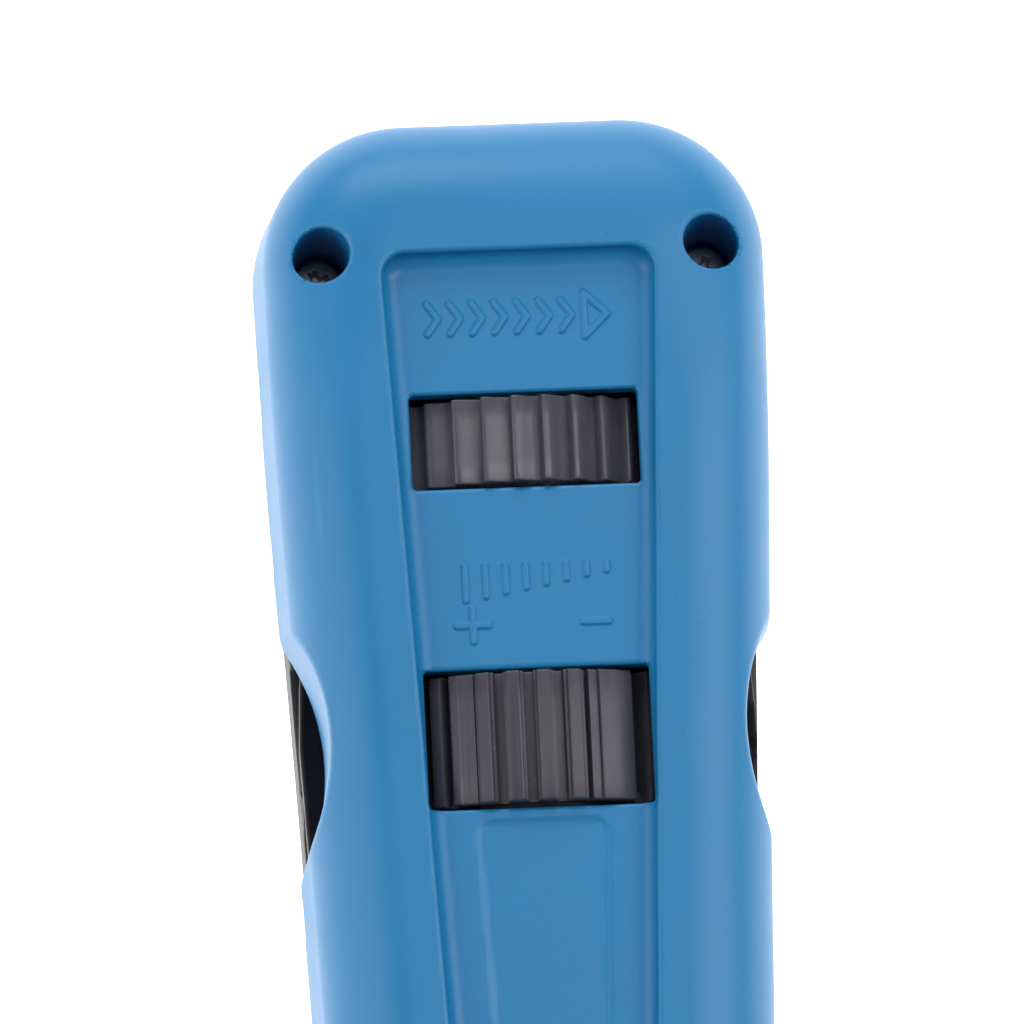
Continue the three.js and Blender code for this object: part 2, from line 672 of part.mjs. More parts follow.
const tripSpring = () =>
  coil({
    radius: 0.75,
    wire: 0.3,
    from: AXIS_Z + TRIP.high + 0.35,
    to: AXIS_Z + 4.9,
    turns: 3,
    steps: 9,
    uprightAt: TRIP.y,
  });

const mainSpring = () =>
  coil({ radius: 4.6, wire: 1.3, from: SEAT.faceY + 1, to: HAMMER.backY - 1, turns: 8 });

// Tube that the knob turns; it holds the hammer and its spring, and carries the seat's keys round.
function adjusterTube() {
  const { frontY, backY, inner, outer } = TUBE;
  const key = block([-1, KNOB.y - 3, AXIS_Z - outer - 1.1], [1, KNOB.y + 3, AXIS_Z - outer + 0.4]);
  const keySlot = block(
    [-OVER - outer, backY - 1, AXIS_Z - SEAT.keyHalf - 0.2],
    [OVER + outer, backY + 6, AXIS_Z + SEAT.keyHalf + 0.2],
  );
  return cut(joined(ring(inner, outer, backY, frontY), key), keySlot);
}

// Ribbed thumb knob with a detent track in its tail flank.
function impactKnob() {
  const { y, length, radius, sectors } = KNOB;
  const low = radius - KNOB_GROOVE;
  const ribs = Array.from({ length: KNOB_RIBS.count }, (_, k) => {
    const centre = KNOB_RIBS.first + k * KNOB_RIBS.pitch;
    return { from: centre - KNOB_RIBS.half, to: centre + KNOB_RIBS.half };
  });
  const raisedParts = [KNOB_RIDGE, KNOB_HUMP, ...ribs, KNOB_LAND];
  const points = [];
  for (let k = 0; k < sectors; k++) {
    for (const { from, to } of raisedParts) {
      const steps = [
        [from - 0.5, low],
        [from, radius],
        [to, radius],
        [to + 0.5, low],
      ];
      for (const [degrees, r] of steps) {
        const angle = THREE.MathUtils.degToRad(degrees + (360 / sectors) * k);
        points.push([r * Math.sin(angle), r * Math.cos(angle)]);
      }
    }
  }
  const rim = drawn(polygon(points.reverse()), y - length / 2, y + length / 2);
  const gaps = Array.from({ length: sectors }, (_, k) =>
    KNOB_GAPS.map(({ from, to, depth }) =>
      bentBlock({
        inner: radius - depth,
        outer: radius + 1,
        from: THREE.MathUtils.degToRad(from + (360 / sectors) * k),
        to: THREE.MathUtils.degToRad(to + (360 / sectors) * k),
        low: () => y - OVER,
        high: () => y + OVER,
        facets: 2,
      }),
    ),
  ).flat();
  const keyway = block([-1.25, y - OVER, AXIS_Z - 9], [1.25, y + OVER, AXIS_Z]);
  const flankY = y - length / 2;
  const track = ring(
    DETENT.drop - DETENT.radius - 0.3,
    DETENT.drop + DETENT.radius + 0.3,
    flankY - 1,
    flankY + 0.8,
  );
  return cut(rim, rod(TUBE.outer + 0.15, y - OVER, y + OVER), keyway, track, ...gaps);
}

// Spring-loaded ball in the rear shell that rides in the knob's track.
function detentBall() {
  const ball = new THREE.SphereGeometry(DETENT.radius, 12, 8);
  ball.translate(0, DETENT.ballY, AXIS_Z - DETENT.drop);
  return solid(ball);
}

function detentRoom() {
  const bore = new THREE.CylinderGeometry(DETENT.bore, DETENT.bore, 6.2, FINE);
  bore.translate(0, DETENT.ballY - 2.7, AXIS_Z - DETENT.drop);
  return solid(bore);
}

const detentSpring = () =>
  coil({
    radius: 0.85,
    wire: 0.35,
    from: DETENT.ballY - 5.3,
    to: DETENT.ballY - DETENT.radius - 0.4,
    turns: 4,
    steps: 9,
    drop: DETENT.drop,
  });

// Seat for the main spring: keys turn it with the tube, and its lugs climb the end plug's ramps.
function springSeat() {
  const { faceY, backY, radius, keyHalf, spigot } = SEAT;
  const disc = turned([
    [0, backY],
    [radius, backY],
    [radius, faceY],
    [spigot, faceY],
    [spigot, faceY + 2.4],
    [0, faceY + 2.4],
  ]);
  const keys = block([-7.4, backY, AXIS_Z - keyHalf], [7.4, faceY, AXIS_Z + keyHalf]);
  const lugs = [0, Math.PI].map((turn) =>
    bentBlock({
      inner: RAMP.inner,
      outer: RAMP.outer,
      from: turn,
      to: turn + RAMP.span,
      low: (angle) => PLUG.frontY + 0.6 + CAM_LEAD * angle,
      high: () => backY + 0.2,
    }),
  );
  return joined(disc, keys, ...lugs);
}

// Fixed plug behind the seat, with a pair of rising ramps.
function endPlug() {
  const { frontY, backY, radius, bore } = PLUG;
  const ramps = [0, Math.PI].map((turn) =>
    bentBlock({
      inner: RAMP.inner,
      outer: RAMP.outer,
      from: turn,
      to: turn + RAMP.span + KNOB_TURN,
      low: () => frontY - 0.3,
      high: (angle) => frontY + 0.3 + CAM_LEAD * angle,
    }),
  );
  return joined(ring(bore, radius, backY, frontY), ...ramps);
}

// ---- Fold-out leaves ----

// Leaf outline from its eye to its tip, on the right side.
function leafShape(tip) {
  const edge = (y) => [halfWidthAt(y) - LEAF.inset, y];
  const shape = new THREE.Shape();
  shape.absarc(PIVOT.x, PIVOT.y, PIVOT.eye, Math.PI, 2 * Math.PI);
  const points = [
    ...[-26, -12, 4, 16, 26].map(edge),
    ...tip,
    [LEAF.innerX, 18],
    [9.7, 10.5],
    [PIVOT.x - PIVOT.eye, PIVOT.y],
  ];
  points.forEach(([x, y]) => shape.lineTo(x, y));
  return shape;
}

function leaf(side, tip) {
  const body = cut(
    raised(leafShape(tip), LEAF.low, LEAF.low + LEAF.thick, 12),
    post(PIVOT.x, PIVOT.y, PIVOT.pin + 0.12, 0, FRONT_Z),
  );
  return side > 0 ? body : body.mirror([1, 0, 0]);
}

// Thin lifting tool: its tip narrows to a blunt point.
const spudger = () => leaf(1, SPUDGER_TIP);

// Wire hook: a round notch behind its tip.
function hook() {
  const notch = post(-LEAF.innerX, HOOK_NOTCH.y, HOOK_NOTCH.radius, 0, FRONT_Z);
  return cut(leaf(-1, HOOK_TIP), notch);
}

const pivotPin = (x) =>
  post(x, PIVOT.y, PIVOT.pin, PIVOT.pinLow, PARTING_Z + PIVOT.pinHigh);

// Spring washer that holds a leaf where it is put.
function pivotWasher(x) {
  const low = LEAF.low + LEAF.thick + WASHER.lift;
  const disc = post(x, PIVOT.y, WASHER.outer, low, low + WASHER.thick);
  return cut(disc, post(x, PIVOT.y, WASHER.inner, 0, FRONT_Z));
}

// ---- Tail cap ----

function tailCap() {
  const { splitY, hingeY, hingeZ, knuckle, knuckleHalf, pin } = CAP;
  const skin = cushion([...rearLevels(REAR.rimZ, 0), ...frontLevels(PARTING_Z, 0)]);
  const hollow = cushion([...rearLevels(REAR.rimZ, WALL), ...frontLevels(PARTING_Z, WALL)]);
  const shell = cut(skin, hollow, block([-30, splitY, -1], [30, NOSE_Y + 1, FRONT_Z + 1]));
  const swingRoom = block([-17, splitY - 1.4, -1], [17, splitY + 1, hingeZ + 0.5]);
  const knuckleRoom = block([-12, splitY - 0.8, -1], [12, splitY + 1, hingeZ + 1.8]);
  const web = block(
    [-knuckleHalf, splitY - WALL, hingeZ - HINGE.armHalf],
    [knuckleHalf, hingeY, hingeZ + HINGE.armHalf],
  );
  const { half, low, high, reach, root } = TONGUE;
  const tongue = joined(
    block([-half, splitY - root, low], [half, splitY + reach, high]),
    block([-half, splitY - root, low], [half, splitY - 1, FRONT_Z - 1]).intersect(skin),
  );
  const barrel = crossRod(knuckle, -knuckleHalf, knuckleHalf, hingeY, hingeZ);
  return cut(
    joined(cut(shell, swingRoom, knuckleRoom), web, barrel, tongue),
    crossRod(pin + 0.1, -13, 13, hingeY, hingeZ),
  );
}

const capPin = () =>
  crossRod(CAP.pin, -HINGE.pinEnd, HINGE.pinEnd, CAP.hingeY, CAP.hingeZ);

// ---- The tool ----

function assembly(...pieces) {
  const group = new THREE.Group();
  for (const [name, body, look] of pieces) {
    const mesh = new THREE.Mesh(geometryOf(body), new THREE.MeshStandardMaterial(look));
    mesh.name = name;
    group.add(mesh);
  }
  return group;
}

const [noseLeft, noseRight, tailLeft, tailRight] = screwPlaces;

const punchDownTool = new THREE.Group();
punchDownTool.add(
  assembly(
    ["front_shell", frontShell(), BLUE],
    ["rear_shell", rearShell(), BLACK],
    ["nose_screw_left", screw(noseLeft), STEEL],
    ["nose_screw_right", screw(noseRight), STEEL],
    ["tail_screw_left", screw(tailLeft), STEEL],
    ["tail_screw_right", screw(tailRight), STEEL],
  ),
  assembly(
    ["nose_bushing", noseBushing(), STEEL],
    ["blade_chuck", bladeChuck(), STEEL],
    ["lock_pin", lockPin(), STEEL],
    ["chuck_clip", chuckClip(), SPRING_STEEL],
    ["lock_sleeve", lockSleeve(), STEEL],
    ["release_wheel", releaseWheel(), DARK_GREY],
    ["release_spring", releaseSpring(), SPRING_STEEL],
    ["return_spring", returnSpring(), SPRING_STEEL],
  ),
  assembly(
    ["hammer", hammer(), STEEL],
    ["trip_block", tripBlock(), BRASS],
    ["trip_spring", tripSpring(), SPRING_STEEL],
    ["main_spring", mainSpring(), SPRING_STEEL],
    ["adjuster_tube", adjusterTube(), STEEL],
    ["impact_knob", impactKnob(), GREY],
    ["detent_ball", detentBall(), STEEL],
    ["detent_spring", detentSpring(), SPRING_STEEL],
    ["spring_seat", springSeat(), BRASS],
    ["end_plug", endPlug(), STEEL],
  ),
  assembly(
    ["hook", hook(), BLACKENED],
    ["spudger", spudger(), BLACKENED],
    ["hook_pin", pivotPin(-PIVOT.x), STEEL],
    ["spudger_pin", pivotPin(PIVOT.x), STEEL],
    ["hook_washer", pivotWasher(-PIVOT.x), SPRING_STEEL],
    ["spudger_washer", pivotWasher(PIVOT.x), SPRING_STEEL],
  ),
  assembly(
    ["tail_cap", tailCap(), BLACK],
    ["tail_cap_pin", capPin(), STEEL],
  ),
);

export default punchDownTool;
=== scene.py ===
"""The looks of the punch down tool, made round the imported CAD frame. Fields are in millimetres."""

import math

import bpy
import numpy as np
from mathutils import Matrix, Vector


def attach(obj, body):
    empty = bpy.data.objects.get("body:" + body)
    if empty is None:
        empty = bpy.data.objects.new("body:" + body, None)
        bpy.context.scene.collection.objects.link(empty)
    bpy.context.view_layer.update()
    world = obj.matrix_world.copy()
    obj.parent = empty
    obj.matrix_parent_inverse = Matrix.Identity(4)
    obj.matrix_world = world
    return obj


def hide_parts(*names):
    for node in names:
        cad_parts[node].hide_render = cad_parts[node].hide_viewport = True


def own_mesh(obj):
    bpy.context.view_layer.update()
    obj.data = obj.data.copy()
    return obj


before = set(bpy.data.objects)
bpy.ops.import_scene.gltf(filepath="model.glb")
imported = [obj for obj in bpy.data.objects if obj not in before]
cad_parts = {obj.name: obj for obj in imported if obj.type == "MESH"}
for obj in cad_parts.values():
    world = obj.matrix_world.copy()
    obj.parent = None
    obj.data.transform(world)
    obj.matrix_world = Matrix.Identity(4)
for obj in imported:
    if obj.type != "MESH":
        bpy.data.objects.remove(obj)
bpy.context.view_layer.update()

MM = 0.001
COARSE = 1.0

# ---- Dimensions that the frame is built with, in millimetres ----

NOSE_Y, TAIL_Y = 68.8, -68.8
DETENT_DROP, DETENT_Y = 10.4, 18.3  # the detent ball, under the axis and along it
LOCK_PIN_Y = 56.0
BLADE_SOCKET = (3.3, 15.8)  # radius, depth
FLOOR_GLOW, AMBIENT = 1.3, 0.27
FRONT_Z, PARTING_Z, REAR_RIM_Z = 28.6, 14.2, 13.9
WALL, NOSE_EDGE_FACTOR = 2.0, 1.35
# Each half: face, rim, how far the rim stands in from the outline, the wall's draft and its fillet.
FRONT_HALF = (FRONT_Z, PARTING_Z, 0.0, 0.45, 6.2)
REAR_HALF = (0.0, REAR_RIM_Z, 0.6, 0.1, 3.4)
NOSE_CORNER, TAIL_CORNER = (10.5, 10.3), 9.0
SIDE = [
    (18, 58.5), (17.62, 44), (16.95, 29), (16.3, 13), (15.75, -4),
    (15.5, -18), (15.8, -34), (16.7, -49), (17.2, -59.8),
]
AXIS_Z = 15.5
RUN = 0.3
RECESS_FLOOR, RECESS_TOP, RECESS_END = 27.0, 58.0, -46.0
RECESS_TOP_HALF, RECESS_END_HALF, RECESS_CORNER = 9.4, 4.85, 1.7
RELEASE_WINDOW = (15.85, 6.65, 44.9)
KNOB_WINDOW = (15.6, 9.7, 23.95)
SCOOP_Y, SCOOP_DEPTH, SCOOP_RADIUS, SCOOP_WALL = 24.3, 2.35, 16.0, 1.2
CRADLES = [
    (64.9, 67.5), (58.4, 60.9), (38, 41), (30.4, 33.4), (16.6, 18.3),
    (11, 12.6), (-22, -20.2), (-32.8, -31.2), (-40.6, -38.9),
]
# Room for the mechanism: radius, from, to. The wheels' rooms stop under the centre panel.
ROOMS = [
    (6.4, 60.9, 80), (7.9, 60.9, 64.9), (7.4, 33.6, 61.2), (9, 48.8, 57.4),
    (2.7, 29.8, 34.2), (7.9, -34.6, 30.1), (8.5, -38.9, -31.2), (3, -47, -38.6),
]
WHEEL_ROOMS = [(12.8, 41.575, 48.225), (13.3, 19.1, 28.8)]
SCREWS = {
    "nose_screw_left": (-13.52, 58.3, 24), "nose_screw_right": (13.52, 58.3, 70),
    "tail_screw_left": (-12.2, -50, 51), "tail_screw_right": (12.2, -50, 8),
}
SEAT_Z = 16.8  # where a screw's head seats
COUNTERBORE, BOSS, SHANK, HEAD = 1.95, 3.1, 1.05, 1.75
LEAF_LOW, LEAF_THICK, LEAF_TIP_Y, LEAF_INNER_X = 11.7, 2.0, 32.0, 13.9
PIVOT_X, PIVOT_Y, EYE, PIN = 11.9, -32.0, 3.6, 1.4
CAP_SPLIT, HINGE_Y, HINGE_Z, KNUCKLE, KNUCKLE_HALF, CAP_PIN = -62.0, -61.0, 1.9, 1.45, 8.0, 0.75


# ---- Distance fields: negative inside a solid ----

def both(a, b, r=0.0):
    """Where both are, with the shared edge rounded to radius r."""
    return np.minimum(np.maximum(a, b), -r) + np.hypot(np.maximum(a + r, 0), np.maximum(b + r, 0))


def either(a, b, r=0.0):
    """Where either is, with a fillet of radius r between them."""
    return -both(-a, -b, r)


def less(a, b, r=0.0):
    return both(a, -b, r)


def slab(v, low, high):
    return np.abs(v - (low + high) / 2) - (high - low) / 2


def box(x, y, z, low, high, r=0.0):
    reach = [slab(v, a, b) + r for v, a, b in zip((x, y, z), low, high)]
    outside = np.sqrt(sum(np.maximum(q, 0) ** 2 for q in reach))
    inside = np.minimum(np.maximum(np.maximum(reach[0], reach[1]), reach[2]), 0)
    return outside + inside - r


def post(x, y, cx, cy, radius):
    return np.hypot(x - cx, y - cy) - radius


def from_axis(x, z):
    return np.hypot(x, z - AXIS_Z)


def polygon(u, v, points, edges=None):
    """Distance to a closed polygon in a plane; only the first edges count where a number is given."""
    nearest = np.full(np.broadcast(u, v).shape, 1e9)
    inside = np.zeros(nearest.shape, bool)
    count = len(points)
    for k in range(count):
        (ax, ay), (bx, by) = points[k], points[(k + 1) % count]
        ex, ey = bx - ax, by - ay
        wx, wy = u - ax, v - ay
        if edges is None or k < edges:
            t = np.clip((wx * ex + wy * ey) / (ex * ex + ey * ey + 1e-12), 0, 1)
            nearest = np.minimum(nearest, (wx - ex * t) ** 2 + (wy - ey * t) ** 2)
        side = ex * wy - ey * wx
        up = (wy >= 0) & (v < by) & (side > 0)
        down = (wy < 0) & (v >= by) & (side < 0)
        inside ^= up | down
    return np.where(inside, -1, 1) * np.sqrt(nearest)


def smoothstep(v, low, high):
    t = np.clip((v - low) / (high - low), 0, 1)
    return t * t * (3 - 2 * t)


# ---- Body outline ----

def catmull_rom(points, steps):
    """The curve that three.js draws through points, steps to a span."""
    points = np.array(points, float)
    out = []
    last = len(points) - 1
    for k in range(last):
        p0, p1, p2, p3 = (points[np.clip(k + d, 0, last)] for d in (-1, 0, 1, 2))
        v0, v1 = (p2 - p0) / 2, (p3 - p1) / 2
        t = np.linspace(0, 1, steps, endpoint=False)[:, None]
        out.append((2 * p1 - 2 * p2 + v0 + v1) * t**3 + (3 * p2 - 3 * p1 - 2 * v0 - v1) * t**2 + v0 * t + p1)
    out.append(points[-1:])
    return np.concatenate(out)


SIDE_CURVE = catmull_rom(SIDE[::-1], 60)


def half_width(y):
    return float(np.interp(y, SIDE_CURVE[:, 1], SIDE_CURVE[:, 0]))


def outline_table(step=0.2, reach_x=22.0, reach_y=72.0):
    """Inset inside the plan outline on a grid of the right half."""
    tail = np.linspace(-math.pi / 2, 0, 60, endpoint=False)
    nose = np.linspace(0, math.pi / 2, 110)
    centre_x, centre_y = SIDE[-1][0] - TAIL_CORNER, SIDE[-1][1]
    points = np.concatenate([
        [(0, TAIL_Y)],
        np.stack([centre_x + TAIL_CORNER * np.cos(tail), centre_y + TAIL_CORNER * np.sin(tail)], 1),
        SIDE_CURVE[:-1],
        np.stack([
            SIDE[0][0] - NOSE_CORNER[0] + NOSE_CORNER[0] * np.cos(nose),
            SIDE[0][1] + NOSE_CORNER[1] * np.sin(nose),
        ], 1),
        [(0, NOSE_Y), (-2, NOSE_Y), (-2, TAIL_Y)],
    ])
    xs = np.arange(-3, round(reach_x / step) + 4) * step
    ys = np.arange(round(-reach_y / step) - 3, round(reach_y / step) + 4) * step
    table = -polygon(np.abs(xs)[:, None], ys[None, :], points, edges=len(points) - 3)
    return xs[0], ys[0], step, table


X0, Y0, STEP, TABLE = outline_table()


def inset(x, y):
    """How far inside the plan outline a point is, by cubic interpolation."""
    u = (np.minimum(np.abs(x), 21.9) - X0) / STEP
    v = (np.clip(y, -71.9, 71.9) - Y0) / STEP
    u, v = np.broadcast_arrays(u, v)
    i, j = u.astype(int), v.astype(int)
    weights = []
    for t in (u - i, v - j):
        weights.append((
            ((2 - t) * t - 1) * t / 2, ((3 * t - 5) * t * t + 2) / 2,
            ((4 - 3 * t) * t + 1) * t / 2, (t - 1) * t * t / 2,
        ))
    total = 0
    for a in range(4):
        for b in range(4):
            total = total + weights[0][a] * weights[1][b] * TABLE[i + a - 1, j + b - 1]
    return total


def half_body(x, y, z, half):
    """One side of the cushion-shaped body, front or rear, before it is cut at the parting plane."""
    d = inset(x, y)
    scale = 1 + (NOSE_EDGE_FACTOR - 1) * smoothstep(y + d, 52, 66)
    face, rim, inward, draft, radius = half
    rise = 1 if face > rim else -1
    spring = face - rise * radius
    lean = inward + draft * np.clip((z - rim) / (spring - rim), 0, 1)
    return both(lean - d / scale, rise * (z - face), radius)


def recess(x, y):
    """Plan of the tapered centre panel."""
    slope = (RECESS_TOP_HALF - RECESS_END_HALF) / (RECESS_TOP - RECESS_END)
    end_y = RECESS_END + RECESS_END_HALF
    side = (np.abs(x) - RECESS_TOP_HALF + slope * (RECESS_TOP - RECESS_CORNER - y)) / math.hypot(1, slope)
    end = np.hypot(x, np.minimum(y - end_y, 0)) - RECESS_END_HALF
    return np.where(y < end_y, end, both(side, y - RECESS_TOP, RECESS_CORNER))


def window(x, y, size):
    width, height, middle = size
    return both(np.abs(x) - width / 2, np.abs(y - middle) - height / 2, 0.25)


def mechanism_room(x, y, z):
    radius = from_axis(x, z)
    rooms = [np.maximum(radius - r, slab(y, a, b)) for r, a, b in ROOMS]
    under = z - RECESS_FLOOR + 0.6
    rooms += [np.maximum(np.maximum(radius - r, under), slab(y, a, b)) for r, a, b in WHEEL_ROOMS]
    return np.minimum.reduce(rooms)


def scoop(x, y):
    centre = half_width(SCOOP_Y) - SCOOP_DEPTH + SCOOP_RADIUS
    return np.hypot(np.abs(x) - centre, y - SCOOP_Y) - SCOOP_RADIUS


def cradles(x, y, z):
    return np.minimum.reduce([slab(y, a, b) for a, b in CRADLES])


def screw_posts(x, y, radius):
    return np.minimum.reduce([post(x, y, cx, cy, radius) for cx, cy, _ in SCREWS.values()])


def pivots(x, y, radius):
    return post(np.abs(x), y, PIVOT_X, PIVOT_Y, radius)


LABEL_TOP, LABEL_HALF, LABEL_SLOPE, LABEL_DEPTH, LABEL_END = 18.2, 4.54, 0.0444, 0.13, -30.0
SCOOP_LEAD, SCOOP_EDGE = 0.3, 0.22


def label_panel(x, y):
    side = np.abs(x) - LABEL_HALF + LABEL_SLOPE * (LABEL_TOP - y)
    return both(side, slab(y, LABEL_END, LABEL_TOP), 1.1)


def scoop_cut(body, x, y):
    """The body less its two scoops, with round lead-ins in plan and a small round along their edges."""
    depth = inset(x, y)
    circle = scoop(x, y)
    edge = SCOOP_EDGE * smoothstep(depth - circle, -0.6, 0.8)
    return less(body, either(circle, depth, SCOOP_LEAD), edge)


def front_shell(x, y, z):
    body = half_body(x, y, z, FRONT_HALF)
    hollow = both(body + WALL, SCOOP_WALL - scoop(x, y))
    panel = recess(x, y)
    ledge = np.maximum.reduce([
        np.broadcast_to(PIVOT_X - 3.4 - np.abs(x), np.broadcast(x, y, z).shape),
        np.broadcast_to(slab(y, -38, 18), np.broadcast(x, y, z).shape),
        np.broadcast_to(z - PARTING_Z - 2.4, np.broadcast(x, y, z).shape),
    ])
    inside = np.minimum.reduce([
        both(panel, RECESS_FLOOR - WALL - z),
        np.broadcast_to(cradles(x, y, z), ledge.shape),
        ledge,
        np.broadcast_to(screw_posts(x, y, BOSS), ledge.shape),
        both(pivots(x, y, 3), z - PARTING_Z - 5),
    ])
    solid = both(body, either(-hollow, inside, 0.35))
    solid = less(solid, mechanism_room(x, y, z))
    floor_z = RECESS_FLOOR - LABEL_DEPTH * smoothstep(-label_panel(x, y), -0.26, 0.26)
    solid = less(solid, both(panel, floor_z - z, 1.1), 0.32)
    windows = np.minimum(window(x, y, RELEASE_WINDOW), window(x, y, KNOB_WINDOW))
    solid = less(solid, both(windows, AXIS_Z - z), 0.22)
    solid = scoop_cut(solid, x, y)
    solid = less(solid, both(screw_posts(x, y, COUNTERBORE), SEAT_Z - z, 0.2), 0.3)
    solid = less(solid, both(screw_posts(x, y, SHANK + 0.15), z - SEAT_Z - 1))
    solid = less(solid, both(pivots(x, y, PIN + 0.1), z - PARTING_Z - 3.4))
    solid = both(solid, PARTING_Z - z, 0.15)
    return both(solid, CAP_SPLIT + 0.3 - y, 0.2)


def leaf_room(x, y, z):
    turn = math.radians(120)
    back_x, back_y = math.sin(turn), math.cos(turn)
    eye = EYE + RUN
    tangent = (PIVOT_X + eye * back_y, PIVOT_Y - eye * back_x)
    reach = 9
    inner, top = LEAF_INNER_X - RUN, LEAF_TIP_Y + RUN + 0.1
    points = [
        (inner, top), (inner, 17.5), (9.2, 10), (PIVOT_X - eye, PIVOT_Y),
        (PIVOT_X - eye * 0.87, PIVOT_Y - eye * 0.5), tangent,
        (tangent[0] + reach * back_x, tangent[1] + reach * back_y),
        (22, tangent[1] + reach * back_y), (22, top),
    ]
    return both(polygon(np.abs(x), y, points), LEAF_LOW - RUN - z)


def rear_shell(x, y, z):
    body = half_body(x, y, z, REAR_HALF)
    shape = np.broadcast(x, y, z).shape
    whole = lambda field: np.broadcast_to(field, shape)
    shelf = np.maximum.reduce([
        whole(PIVOT_X - 5.4 - np.abs(x)),
        whole(slab(y, -41, LEAF_TIP_Y + 2.4)),
        whole(LEAF_LOW - 2.6 - z),
    ])
    detent = np.maximum.reduce([whole(np.abs(x) - 3), whole(slab(y, 11.6, 18.3)), whole(z - AXIS_Z + 7.6)])
    inside = np.minimum.reduce([
        whole(cradles(x, y, z)), shelf, whole(screw_posts(x, y, BOSS)),
        both(pivots(x, y, 3), z - LEAF_LOW), detent,
    ])
    solid = both(body, either(body * -1 - WALL, inside, 0.3))
    solid = less(solid, mechanism_room(x, y, z))
    solid = less(solid, leaf_room(x, y, z), 0.25)
    solid = less(solid, both(screw_posts(x, y, SHANK + 0.1), 4.6 - z))
    solid = less(solid, both(pivots(x, y, PIN + 0.1), 8 - z))
    solid = less(solid, box(x, y, z, (-11.7, -62.8, -2), (11.7, -58.7, HINGE_Z + 2.3), 0.3))
    solid = less(solid, np.maximum(np.hypot(x, z - AXIS_Z + DETENT_DROP) - 1.4, slab(y, 12.5, 18.7)))
    solid = both(solid, z - REAR_RIM_Z, 0.2)
    solid = both(solid, CAP_SPLIT + 0.3 - y, 0.2)
    knuckle = np.maximum(np.hypot(y - HINGE_Y, z - HINGE_Z) - KNUCKLE, slab(np.abs(x), 8.35, 11.4))
    arm = box(np.abs(x), y, z, (8.35, HINGE_Y, HINGE_Z - 1.2), (11.4, HINGE_Y + 3, HINGE_Z + 1.2), 0.2)
    solid = either(solid, np.minimum(knuckle, arm))
    return less(solid, np.maximum(np.hypot(y - HINGE_Y, z - HINGE_Z) - CAP_PIN - 0.1, np.abs(x) - 13))


def tail_cap(x, y, z):
    front, rear = half_body(x, y, z, FRONT_HALF), half_body(x, y, z, REAR_HALF)
    skin = np.where(z > (PARTING_Z + REAR_RIM_Z) / 2, front, rear)
    shell = both(skin, -(skin + WALL))
    shell = both(shell, y - CAP_SPLIT, 0.25)
    shell = less(shell, box(x, y, z, (-17, CAP_SPLIT - 1.4, -3), (17, CAP_SPLIT + 3, HINGE_Z + 0.5), 0.2))
    shell = less(shell, box(x, y, z, (-12, CAP_SPLIT - 0.8, -3), (12, CAP_SPLIT + 3, HINGE_Z + 1.8)))
    web_low = (-KNUCKLE_HALF, CAP_SPLIT - 2, HINGE_Z - 1.2)
    web = box(x, y, z, web_low, (KNUCKLE_HALF, HINGE_Y, HINGE_Z + 1.2), 0.2)
    barrel = np.maximum(np.hypot(y - HINGE_Y, z - HINGE_Z) - KNUCKLE, np.abs(x) - KNUCKLE_HALF)
    tongue = box(x, y, z, (-4, CAP_SPLIT - 5, 24.2), (4, CAP_SPLIT + 4, 25.7), 0.3)
    root = both(skin, box(x, y, z, (-4, CAP_SPLIT - 5, 24.2), (4, CAP_SPLIT - 1, FRONT_Z - 1)))
    solid = np.minimum.reduce([shell, web, barrel, tongue, root])
    return less(solid, np.maximum(np.hypot(y - HINGE_Y, z - HINGE_Z) - CAP_PIN - 0.1, np.abs(x) - 13))


# ---- Surfaces from fields ----

def axis(*spans):
    """Grid lines from (start, end, step) spans that follow on."""
    parts = []
    for start, end, step in spans:
        count = max(2, round((end - start) / (step * COARSE)))
        parts.append(np.linspace(start, end, count, endpoint=False))
    return np.append(np.concatenate(parts), spans[-1][1])


def slope(field, p, h=0.015):
    """Field value and gradient at points, by four samples at the corners of a tetrahedron."""
    corners = np.array([(1, 1, 1), (1, -1, -1), (-1, 1, -1), (-1, -1, 1)], float)
    values = [field(*(p + h * c).T) for c in corners]
    gradient = sum(v[:, None] * c for v, c in zip(values, corners)) / (4 * h)
    return sum(values) / 4, gradient


def settle(field, p, limit, rounds=3):
    """Moves points onto the surface of the field."""
    for _ in range(rounds):
        value, gradient = slope(field, p)
        move = -value[:, None] * gradient / np.maximum((gradient**2).sum(1), 0.25)[:, None]
        length = np.linalg.norm(move, axis=1)
        p = p + move * np.minimum(1, limit / np.maximum(length, 1e-9))[:, None]
    return p


